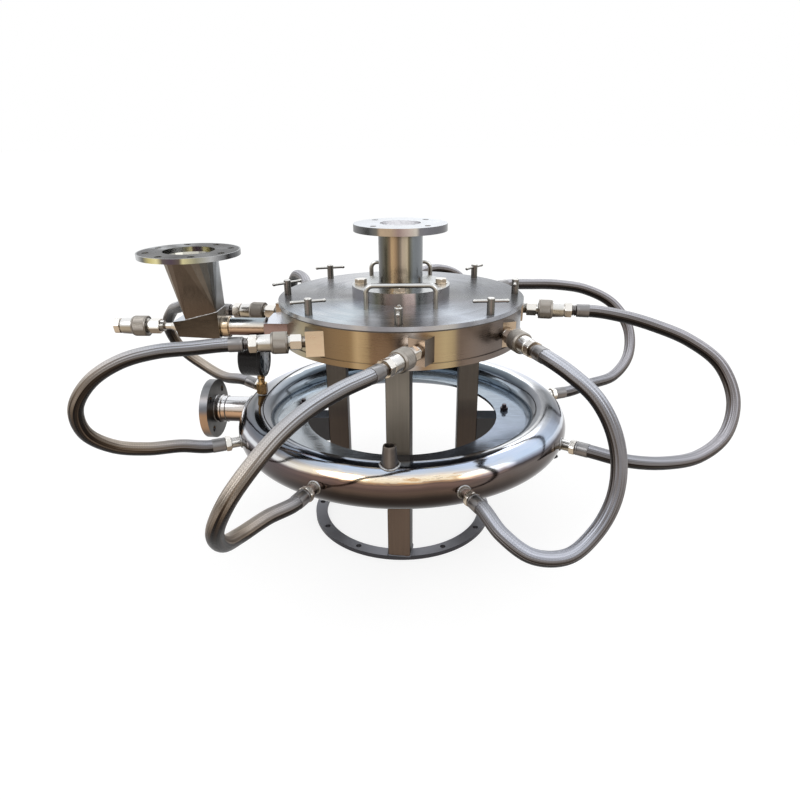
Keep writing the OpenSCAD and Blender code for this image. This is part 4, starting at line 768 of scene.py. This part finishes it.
def dress(node, mat, bevel=0.0, seg=2):
    """keeps a CAD node, with a material of its own and its edges softened"""
    o = NODE[node]
    o.data.materials.clear()
    o.data.materials.append(MAT[mat])
    if bevel:
        b = o.modifiers.new("edges", "BEVEL")
        b.width = bevel * 0.001
        b.segments = seg
        b.limit_method = "ANGLE"
        b.angle_limit = radians(35)


# ---------------------------------------------------------------- places, as in the CAD source
# ports on the body and on the ring: place, turn away from the machine, and tilt of the lower ones
UP = [(x, y, PORT_Z) for x, y in ((-260, -172), (-40, -314), (202, -240), (334, 12), (221, 233), (20, 314),
    (-330, 42), (-198, 241))]
UP_TURN = [186, 237.5, 288, 348, 33, 65, 168, 105]
LOW = [(-320, -129, 204), (-151, -310, 204), (110, -327, 204), (307, -157, 204), (329, 103, 204),
    (146, 313, 204), (-317, 128, 225), (-162, 305, 204)]
LOW_TURN = [202, 244, 295, 326, 20, 65, 163, 118]
TILT = [0, 0, 0, 0, 0, 0, 15, 0]
ROUTE = [
    [(-313, -182, 394), (-361, -198, 394), (-408, -216, 385), (-450, -229, 360), (-479, -231, 318),
        (-481, -216, 271), (-455, -191, 236), (-413, -167, 219), (-367, -145, 213)],
    [(-78, -347, 389), (-114, -374, 375), (-146, -408, 357), (-172, -443, 335), (-199, -466, 301),
        (-219, -460, 258), (-222, -429, 220), (-213, -385, 202), (-185, -345, 203)],
    [(229, -278, 384), (260, -305, 358), (281, -324, 319), (289, -339, 274), (282, -353, 228),
        (258, -368, 189), (220, -384, 164), (172, -386, 166), (134, -365, 186)],
    [(388, -2, 390), (442, -21, 377), (497, -43, 356), (542, -69, 322), (559, -101, 271), (539, -134, 222),
        (489, -160, 195), (428, -176, 191), (366, -178, 196)],
    [(280, 259, 392), (342, 278, 386), (405, 283, 374), (462, 269, 346), (492, 238, 300), (485, 198, 250),
        (445, 160, 218), (387, 130, 211)],
    [(48, 356, 402), (88, 387, 402), (130, 405, 386), (166, 406, 345), (188, 399, 301), (188, 381, 255),
        (170, 353, 220)],
    [(-386, 58, 404), (-424, 98, 388), (-457, 148, 368), (-484, 184, 326), (-469, 204, 270), (-421, 194, 234),
        (-371, 159, 222)],
    [(-212, 286, 404), (-234, 327, 402), (-250, 362, 374), (-252, 377, 322), (-241, 378, 278),
        (-218, 366, 240), (-189, 341, 215)]]
BRAID = ["warm", "warm", "cool", "plain", "plain", "plain", "warm", "plain"]

# X runs into the machine from the hose's end; the ninth port is the open one of the feed lance
FEED = T(0, 0, PORT_Z) @ R(177, "Z") @ T(0, 85, 0)
PORTS = [T(*p) @ R(a + 180, "Z") for p, a in zip(UP, UP_TURN)] + [FEED @ T(505, 0, 0) @ R(180, "Z")]
LOWS = [T(*p) @ R(a + 180, "Z") @ R(t, "Y") for p, a, t in zip(LOW, LOW_TURN, TILT)]


# ---------------------------------------------------------------- hoses
def direction(turn, tilt=0.0):
    a, t = radians(turn), radians(tilt)
    return Vector((cos(t) * cos(a), cos(t) * sin(a), sin(t)))


def hose_path(i, step):
    """a smooth line through the route's points, straight at both ends"""
    P = [Vector(p) for p in (UP[i], *ROUTE[i], LOW[i])]
    h = [(q - p).length for p, q in zip(P, P[1:])]
    tan = [direction(UP_TURN[i])]
    for k in range(1, len(h)):
        before, after = (P[k] - P[k - 1]) / h[k - 1], (P[k + 1] - P[k]) / h[k]
        tan.append((before * h[k] + after * h[k - 1]) / (h[k - 1] + h[k]))
    tan.append(-direction(LOW_TURN[i], TILT[i]))
    out = []
    for k, d in enumerate(h):
        m = max(1, round(d / step))
        for t in (j / m for j in range(m)):
            out.append(P[k] * (2 * t ** 3 - 3 * t ** 2 + 1) + tan[k] * d * (t ** 3 - 2 * t ** 2 + t)
                       + P[k + 1] * (3 * t ** 2 - 2 * t ** 3) + tan[k + 1] * d * (t ** 3 - t ** 2))
    return out + [P[-1]]


def hoses():
    seg = 28
    for i in range(8):
        name = "braided_hose_%d" % (i + 1)
        fine, path = hose_path(i, 3.0), hose_path(i, 17.0)
        v, f = rod(fine, seg, lambda k: HOSE_R, level=True)
        run = [0.0]
        for p, q in zip(fine, fine[1:]):
            run.append(run[-1] + (q - p).length)
        uv = [(t / seg, run[s] / 1000) for k in range(len(fine) - 1) for j in range(seg)
              for t, s in ((j, k), (j + 1, k), (j + 1, k + 1), (j, k + 1))]
        uv += [(0.5, 0.0)] * seg * 2
        me = mesh(name, v, f, "wire_braid_" + BRAID[i])
        layer = me.uv_layers.new(name="along")
        for k, q in enumerate(uv):
            layer.data[k].uv = q
        sharp(me, 50)
        o = piece(name, me, "hose_%d" % (i + 1))


hoses()


# ---------------------------------------------------------------- hose fittings
def knurl(a, r, z):
    return r - (0.35 if (round(a * 120 / TAU) % 2 and r > 16.4 and 67.2 < z < 85.5) else 0.0)


def fittings():
    """along a port: ferrule 0-22, neck, nut 30-42, socket and sleeve to 88, nut 92-109, thread to 115"""
    fer, cb, ad, nip = Geo(), Geo(), Geo(), Geo()
    for i in range(8):
        for q in (PORTS[i], LOWS[i]):
            fer.turned([(0, 11.02), (0, 11.45), (0.8, 11.6), (17.4, 11.6), (18, 11.2), (18.6, 11.6),
                (20.8, 11.6),
                        (22, 10.6), (22, 5)], q, 40, 0.4)
        cb.turned([(22, 5), (22, 8.2), (22.6, 8.5), (23.4, 9.7), (25, 9.7), (25.6, 8.5), (27, 8.5),
            (27.5, 9.5),
                   (28.8, 9.5), (29.4, 8.5), (30.2, 8.5), (30.2, 5)], PORTS[i], 36, 0.3, mi=2)
    thread = [(109, 5), (109, 8.8)]
    for k in range(4):
        thread += [(109.4 + 1.4 * k, 9.0), (110.1 + 1.4 * k, 8.2)]
    for i, m in enumerate(PORTS):
        cb.hexa(30 if i < 8 else 33, 42, 14, m, mi=1, turn=0.3 * i)
        cb.turned([(42, 5), (42, 11.6), (43.4, 11.8), (44.2, 12.8), (50, 13.2), (58, 13.7), (63, 13.9),
            (88, 13.88),
                   (88, 5)], m, 40, 0.4)
        ad.turned([(88, 5), (88, 12.6), (89, 12.8), (89.6, 10), (92, 10), (92, 5)], m, 36, 0.3)
        ad.hexa(92, 109, 13, m, mi=1, turn=0.4 + 0.2 * i)
        ad.turned(thread + [(115, 9.0), (115, 5)], m, 36, 0.2)
    for i, m in enumerate(LOWS):
        nip.hexa(22, 30.5, 13, m, mi=1, turn=0.25 * i)
        nip.turned([(30.5, 5), (30.5, 10), (31.6, 10.2), (32, 9), (53, 9), (53, 5)], m, 36, 0.3)
    fer.make("hose_end_ferrules", "ferrule_steel", "ferrule_steel", "hose_ferrules")
    cb.make("coupling_sockets", "fitting_steel nut_steel dark_neck_steel", "fitting_steel", "coupling_bodies")
    ad.make("port_fittings", "fitting_steel nut_steel", "fitting_steel", "port_adapters")
    nip.make("ring_weld_nipples", "fitting_steel nut_steel", "fitting_steel", "ring_nipples")
    prof = [(63, 13.96), (63, 15.2), (64.2, 16.0), (66.4, 16.95), (66.9, 16.3), (67.1, 16.3), (67.3, 16.95),
            (72, 16.95), (76, 16.95), (85.4, 16.95), (85.6, 16.3), (86, 16.3), (86.2, 16.95), (87.6, 16.95),
            (88, 16.4), (88, 13.96)]
    for i, m in enumerate(PORTS, 1):
        g = Geo().lathe([(r, x) for x, r in prof], 120, m @ R(90, "Y"), wave=knurl)
        g.make("slide_sleeve_%d" % i, "sleeve_steel", "sleeve_grey", "sleeve_%d" % i, "slide_%d" % i)


fittings()


# ---------------------------------------------------------------- ring manifold, inlet, welds
def on_ring(turn, up=0.0):
    """upright above the middle of the ring's tube"""
    return R(turn, "Z") @ T(RING_R, 0, RING_Z + up)


def seam(m, r, x0, x1, n=72):
    """points where a round bar along X meets the ring"""
    out = []
    for k in range(n):
        y, z = r * cos(TAU * k / n), r * sin(TAU * k / n)
        lo, hi = x0, x1
        for _ in range(30):
            mid = (lo + hi) / 2
            p = m @ Vector((mid, y, z))
            if hypot(hypot(p.x, p.y) - RING_R, p.z - RING_Z) > RING_TUBE:
                lo = mid
            else:
                hi = mid
        out.append(tuple(m @ Vector((hi, y, z))))
    return out


def bead(g, pts, r):
    """a scaly weld bead along closed points"""
    n = len(pts)
    k = max(8, int(n / 3))
    radii = [r * (0.86 + 0.2 * abs(sin(pi * k * i / n)) + 0.12 * (rnd.random() - 0.5)) for i in range(n)]
    g.add(*rod(pts, 10, lambda i: radii[i] * (1 + 0.1 * (rnd.random() - 0.5)), closed=True))


def manifold():
    g = Geo().lathe([(RING_R + x, RING_Z + z) for x, z, _ in circle(RING_TUBE, 0, 72)], 240)
    g.make("ring_manifold", "polished_ring", "polished_ring", "air_ring")
    w = Geo()
    for m in LOWS:
        bead(w, seam(m, 9.6, 30, 70), 1.8)
    bead(w, seam(on_ring(SPARE_TURN, 80) @ R(90, "Y"), 14.0, 0, 60), 2.2)
    bead(w, seam(on_ring(GAUGE_TURN, 80) @ R(90, "Y"), 8.4, 0, 60), 1.5)
    inlet = T(0, 0, RING_Z) @ R(INLET_TURN, "Z") @ T(345, 0, 0) @ R(180, "Z")
    bead(w, seam(inlet, 24.6, 0, 75, n=120), 2.2)
    bead(w, circle(229.6, 209.3, 360), 1.2)
    w.make("weld_beads", "weld_steel", "fitting_steel")
    s = Geo().lathe(soft([(7, 30), (13.5, 28), (12.2, 42), (12.0, 43.5), (10.2, 62), (9.5, 66.3), (7, 66.3)]),
                    40, on_ring(SPARE_TURN))
    s.make("spare_air_socket", "socket_steel", "fitting_steel", "spare_socket")
    d = Geo().solid([(0, 33), (5.2, 33), (6.2, 35), (6.2, 41), (4.4, 42), (4.4, 49), (0, 49)], 0.6, 28,
                    on_ring(-20) @ R(150, "Y"))
    d.make("drain_plug", "drain_plug_black", "dark_bolt")


manifold()


def inlet():
    m = T(0, 0, RING_Z) @ R(INLET_TURN, "Z")
    g = Geo().turned([(292, 21.5), (292, 24), (335, 24), (336, 24.6), (342.5, 24.6), (343, 25.4),
        (343.6, 26.8),
                      (349, 27), (350, 25), (350.6, 24.2), (356.2, 24.2), (356.2, 21.5)], m, 72, closed=True)
    g.make("inlet_stub", "inlet_steel", "satin_steel", "inlet_pipe")
    w = Geo()
    for r, x, size in ((24.4, 334.5, 1.0), (24.4, 344.0, 1.0), (24.8, 355.6, 1.6)):
        bead(w, circle(r, x, 96, m @ ALONG_X), size)
    w.make("inlet_weld_beads", "weld_steel", "fitting_steel")


inlet()


# ---------------------------------------------------------------- CAD pieces that stay: look, bevel and segments
for node, look in {
        "chamber_body": ("turned_body", 0.8), "grinding_ring": ("flange_steel", 0.6), "lid": ("lid_steel",
            1.0),
        "port_blocks": ("block_steel", 1.0), "jet_nozzles": ("fitting_steel",), "lid_gasket": ("gasket_grey",
            0.5),
        "foot_flange": ("foot_steel", 1.2), "outlet_flange": ("flange_steel", 1.2),
        "inlet_flange": ("inlet_flange_steel", 1.0), "base_ring": ("base_steel", 0.8),
        "brackets": ("bracket_steel", 1.0), "ring_plate": ("plate_mirror", 0.5),
        "feed_block": ("feed_block_steel", 0.8), "injector_box": ("housing_steel", 1.6, 3),
        "hopper_flange": ("hopper_flange_steel", 1.0)}.items():
    dress(node, *look)


# ---------------------------------------------------------------- lid and outlet
def lid_parts():
    # T-bar screws; every bar stands at its own turn
    for k, bar in enumerate((88, 2, 78, 50, 25, 14, 38, 18)):
        a = 268.9 + 45 * k
        m = R(a, "Z") @ T(197, 0, LID_TOP)
        g = Geo().solid([(0, -28), (5.2, -28), (6, -27), (6, 24.6), (5.2, 26), (0, 26)], 0.7, 36, m)
        end = [(-28, 0), (-28, 1.6), (-27.2, 2.5), (-25.5, 2.9), (-23.8, 2.9), (-23, 2.5)]
        g.turned(end + [(-x, r) for x, r in reversed(end)], m @ T(0, 0, 20.5) @ R(bar - a, "Z"), 20, 0.4)
        g.make("lid_screw_%d" % (k + 1), "bolt_steel", "bolt_steel", "tscrew_%d" % (k + 1),
            "screw_%d" % (k + 1))
    h = Geo()
    for s in (-1, 1):
        half = [(-55, 0, z) for z in (0, 6, 12, 18, 24)]
        half += [(-55 + 11 * (1 - cos(a)), 0, 26 + 11 * sin(a)) for a in (pi / 2 * q / 8 for q in range(9))]
        half += [(x, 0, 37) for x in (-30, -15)]
        pts = half + [(0, 0, 37)] + [(-x, y, z) for x, y, z in reversed(half)]
        v, f = rod(pts, 24, lambda i: 4.0 + 0.0 * rnd.random())
        h.add(v, f, T(0, s * 105, LID_TOP))
    h.make("lid_grip_rods", "handle_steel", "polished_ring", "lid_handles", "lid_top")
    b = Geo()
    for k in range(4):
        m = R(-1.1 + 90 * k, "Z") @ T(69, 0, LID_TOP) @ R(-90, "Y")
        b.hexa(19, 27, 10.4, m, hole=0.01, c=1.4, turn=0.2 * k)
        b.turned([(-7, 0), (-7, 5), (19.5, 5), (19.5, 0)], m, 28, 0.6)
        b.turned([(18.9, 5.2), (18.9, 11.2), (20.2, 11.2), (20.2, 5.2)], m, 36, 0.3, closed=True)
    b.make("foot_hex_bolts", "nut_steel", "bolt_steel", "foot_bolts", "lid_top")
    o = Geo().lathe(soft([(34.5, 402), (37.5, 402), (37.5, 540), (34.5, 540)]), 128)
    o.make("outlet_pipe", "outlet_steel", "turned_steel", "outlet_tube", "lid_top")
    w = Geo()
    for z in (451.6, 539.2):
        bead(w, circle(38.2, z, 140), 1.8)
    w.make("outlet_weld_beads", "weld_steel", "fitting_steel", body="lid_top")


lid_parts()


# ---------------------------------------------------------------- stand
def stand():
    p = Geo()
    for a in (1, 169):
        m = R(a, "Z") @ T(192, 0, 0)
        p.solid([(0, 196), (4, 196), (4, 221), (0, 221)], 0.5, 24, m)
        for z0, z1 in ((209.2, 215), (198, 204)):
            p.hexa(z0, z1, 7.5, m @ R(-90, "Y"), hole=0.01, c=0.9)
    p.make("plate_studs", "dark_bolt_steel", "dark_bolt", "plate_bolts")
    w, g = Geo(), Geo()
    h, n = 19.5, 72
    square = []
    for t in (TAU * (k + 0.5) / n for k in range(n)):
        q = h / max(abs(cos(t)), abs(sin(t)))
        square.append((q * cos(t), q * sin(t)))
    for rr, a, turn in ((151.5, 268.5, -8), (147, 28.5, -1.5), (147, 148.5, -1.5)):
        m = T(rr * cos(radians(a)), rr * sin(radians(a)), 0) @ R(turn, "Z")
        out = soft([(-h, -h), (h, -h), (h, h), (-h, h)], 3.0, n=5)
        g.stack([[(x, y, z) for x, y in out] for z in (8, 60, 120, 180, 240, 300, 365)], m)
        for z in (8.4, 364.4):
            bead(w, [tuple(m @ Vector((x, y, z))) for x, y in soft(square, 0.1)[::3]], 1.7)
    g.make("leg_tubes", "leg_tube_steel", "leg_steel", "stand_legs", angle=30)
    w.make("leg_weld_beads", "base_steel", "fitting_steel")


stand()


# ---------------------------------------------------------------- feed injector
def mouth(n, r, up=0.0):
    """round top of the hopper's chute"""
    return [(332 + x, y, 116 + z) for x, y, z in circle(r, up, n)]


def foot(d, up=0.0):
    """sloping square foot of the chute, d inside its outer face"""
    return [(344 - d, 22 - d, 15.8 + up), (292 + d, 22 - d, 28.8 + up),
            (292 + d, d - 22, 28.8 + up), (344 - d, d - 22, 15.8 + up)]


def chute():
    """a duct from a square foot to a round mouth, bent in flat facets; walls of 3 mm, with painted light inside
    """
    q = Geo()
    per, n = 5, 20
    for r, d, mi in ((43.5, 0, 0), (40.5, 3, 1)):
        f = []
        for s in range(4):
            f += [(s * per + j, (s * per + j + 1) % n, n + s) for j in range(per)]
            f.append((((s + 1) * per) % n, n + (s + 1) % 4, n + s))
        q.add(mouth(n, r) + foot(d), [t[::-1] for t in f] if mi else f, FEED, mi)
    q.add(foot(0) + foot(3), [(i, (i + 1) % 4, 4 + (i + 1) % 4, 4 + i) for i in range(4)], FEED)
    q.add(mouth(n, 43.5) + mouth(n, 40.5), [(k, (k + 1) % n, n + (k + 1) % n, n + k) for k in range(n)], FEED)
    q.make("hopper_chute", "duct_steel duct_inside_steel", "duct_steel", "hopper_duct", angle=3)


def feed():
    g = Geo().turned([(218, 11.5), (218, 14.5), (268, 14.5), (277.4, 14.5), (278, 15.4), (278.4, 17),
        (279, 17.5),
                      (290, 17.5), (291, 17), (291, 11.5)], FEED, 64, 0.4, closed=True)
    g.mi = [1 if all(g.v[k][0] < -273.5 for k in f) else 0 for f in g.f]
    g.make("feed_tube", "feed_steel collar_steel", "turned_steel", "feed_pipe")
    chute()
    w = Geo()
    low = [Vector(p) for p in foot(0, 0.5)]
    edge = [low[k].lerp(low[(k + 1) % 4], t / 16) for k in range(4) for t in range(16)]
    bead(w, [tuple(FEED @ p) for p in edge], 1.2)
    bead(w, [tuple(FEED @ Vector(p)) for p in mouth(120, 43.6, -0.6)], 1.5)
    bead(w, circle(14.8, 218.4, 70, FEED @ ALONG_X), 1.1)
    w.make("feed_weld_beads", "weld_steel", "fitting_steel")
    a = Geo().turned([(326, 3), (326, 5), (365, 5), (366, 10), (367, 10), (378, 5.2), (390, 5), (390, 3)],
        FEED, 40,
                     0.3, closed=True)
    a.make("air_lance_pipe", "nut_steel", "fitting_steel", "air_lance")


feed()


# ---------------------------------------------------------------- gauge
def gauge():
    a = radians(GAUGE_TURN)
    m = T(RING_R * cos(a), RING_R * sin(a), 309) @ R(-6 + 90, "Z") @ R(90, "X")
    g = Geo().solid([(0, -32), (24, -32), (29.5, -31), (31.6, -28.5), (32, -26), (32, 5.4), (33, 6), (33, 11),
                     (32, 12), (30.4, 12), (29.9, 11.2), (29.9, 3), (0, 3)], 1.2, 96, m)
    g.make("gauge_housing", "gauge_black", "gauge_black", "gauge_case", angle=40)
    d = Geo()
    d.lathe([(0, 3.05), (29.8, 3.05), (29.8, 4.0), (0, 4.0)], 96, m, closed=False)
    d.lathe([(0, 3.5), (1.0, 3.5), (1.0, 6.0), (0, 6.0)], 20, m, closed=False)
    d.make("gauge_face", "dial_white", "dial_white", "gauge_dial")
    # ticks and numbers run over 270 degrees, clockwise from the lower left
    t = Geo()
    c = 0.01
    for k in range(51):
        x0, w = (20.5, 0.42) if k % 5 == 0 else (23.2, 0.2)
        x1, rings = 26.0, []
        for z, e in ((0, c), (c, 0), (0.12 - c, 0), (0.12, c)):
            out = soft([(x0 + e, -w + e), (x1 - e, -w + e), (x1 - e, w - e), (x0 + e, w - e)], c + 0.01)
            rings.append([(x, y, z) for x, y in out])
        t.stack(rings, m @ T(0, 0, 4.0) @ R(225 - 270 * k / 50, "Z"))
    t.lathe([(27.0, 4.0), (27.4, 4.0), (27.4, 4.12), (27.0, 4.12)], 96, m)
    t.make("gauge_marks", "dial_ink", "gauge_black")
    for k in range(6):
        name = "gauge_number_%d" % k
        cu = bpy.data.curves.new(name, "FONT")
        cu.body = str(k * 2)
        cu.size = 0.0052
        cu.align_x, cu.align_y = "CENTER", "CENTER"
        cu.extrude = 0.00006
        cu.materials.append(MAT["dial_ink"])
        ang = radians(225 - 270 * k / 5)
        q = m.to_3x3().to_4x4()
        q.translation = (m @ Vector((16.2 * cos(ang), 16.2 * sin(ang), 4.08))) * 0.001
        piece(name, cu, world=q)
    p = Geo()
    pm = m @ T(0, 0, 4.5) @ R(225, "Z")
    half = [(-7, -1.3), (-5, -1.5), (0, -1.2), (14, -0.7), (22, -0.15)]
    p.stack([[(x, y, z) for x, y in half + [(x, -y) for x, y in reversed(half)]] for z in (0, 1)], pm)
    p.lathe(soft([(1.07, 0), (3.4, 0), (3.4, 1.1), (1.07, 1.1)], 0.3), 32, pm)
    p.make("gauge_pointer", "dial_ink", "gauge_black", "gauge_needle", "dial_needle")
    c = Geo().solid([(0, 10), (29.8, 10), (29.8, 11.2), (20, 11.8), (0, 12)], 0.3, 96, m)
    c.make("gauge_window", "gauge_glass", "gauge_glass", "gauge_glass")
    b = on_ring(GAUGE_TURN)
    s = Geo().solid([(0, 29), (8, 29), (8, 40), (0, 40)], 0.6, 36, b)
    s.hexa(37.5, 57, 10.4, b @ R(-90, "Y"), hole=0.01, c=1.4)
    s.solid([(0, 56), (6.6, 56), (6.6, 58), (6, 59), (6, 65), (7.2, 66), (7.2, 71), (6, 72), (6, 74),
        (0, 74)],
            0.4, 36, b)
    s.make("gauge_foot", "brass_fitting", "brass_fitting", "gauge_stem")


gauge()


# ---------------------------------------------------------------- floor, backdrop and light
def studio():
    """a pale floor that turns white for the camera, a white world and three lamps"""
    m = Mat("pale_floor", 0.0, 0.9, 0.0)
    m.set("Base Color", m.mix((246, 246, 246), (250, 250, 250), m.noise(m.pos, 3.0)))
    m.blend(m.out, m.mul(m.seen(), 0.72), m.b.outputs[0], m.light("Emission", 1.15))
    half = 60000
    me = mesh("floor", [(-half, -half, 0), (half, -half, 0), (half, half, 0), (-half, half, 0)],
        [(0, 1, 2, 3)],
              "pale_floor")
    o = bpy.data.objects.new("floor", me)
    scene.collection.objects.link(o)
    scene.world = bpy.data.worlds.new("studio")
    w = Tree(scene.world)
    w.blend(w.n("OutputWorld").inputs["Surface"], w.seen(), w.light("Background", 0.72), w.light("Background",
        1.0))
    for name, place, size, power in (("key", (-1.6, -1.6, 2.4), 1.6, 16), ("fill", (2.0, -1.2, 1.6), 1.8, 8),
                                     ("back", (0.6, 2.2, 2.2), 1.6, 8)):
        d = bpy.data.lights.new(name, "AREA")
        d.shape = "DISK"
        d.size = size
        d.energy = power
        k = bpy.data.objects.new(name, d)
        scene.collection.objects.link(k)
        k.location = place
        k.rotation_euler = (Vector((0, 0, 0.3)) - Vector(place)).to_track_quat("-Z", "Y").to_euler()


studio()
scene.view_settings.view_transform = "Standard"
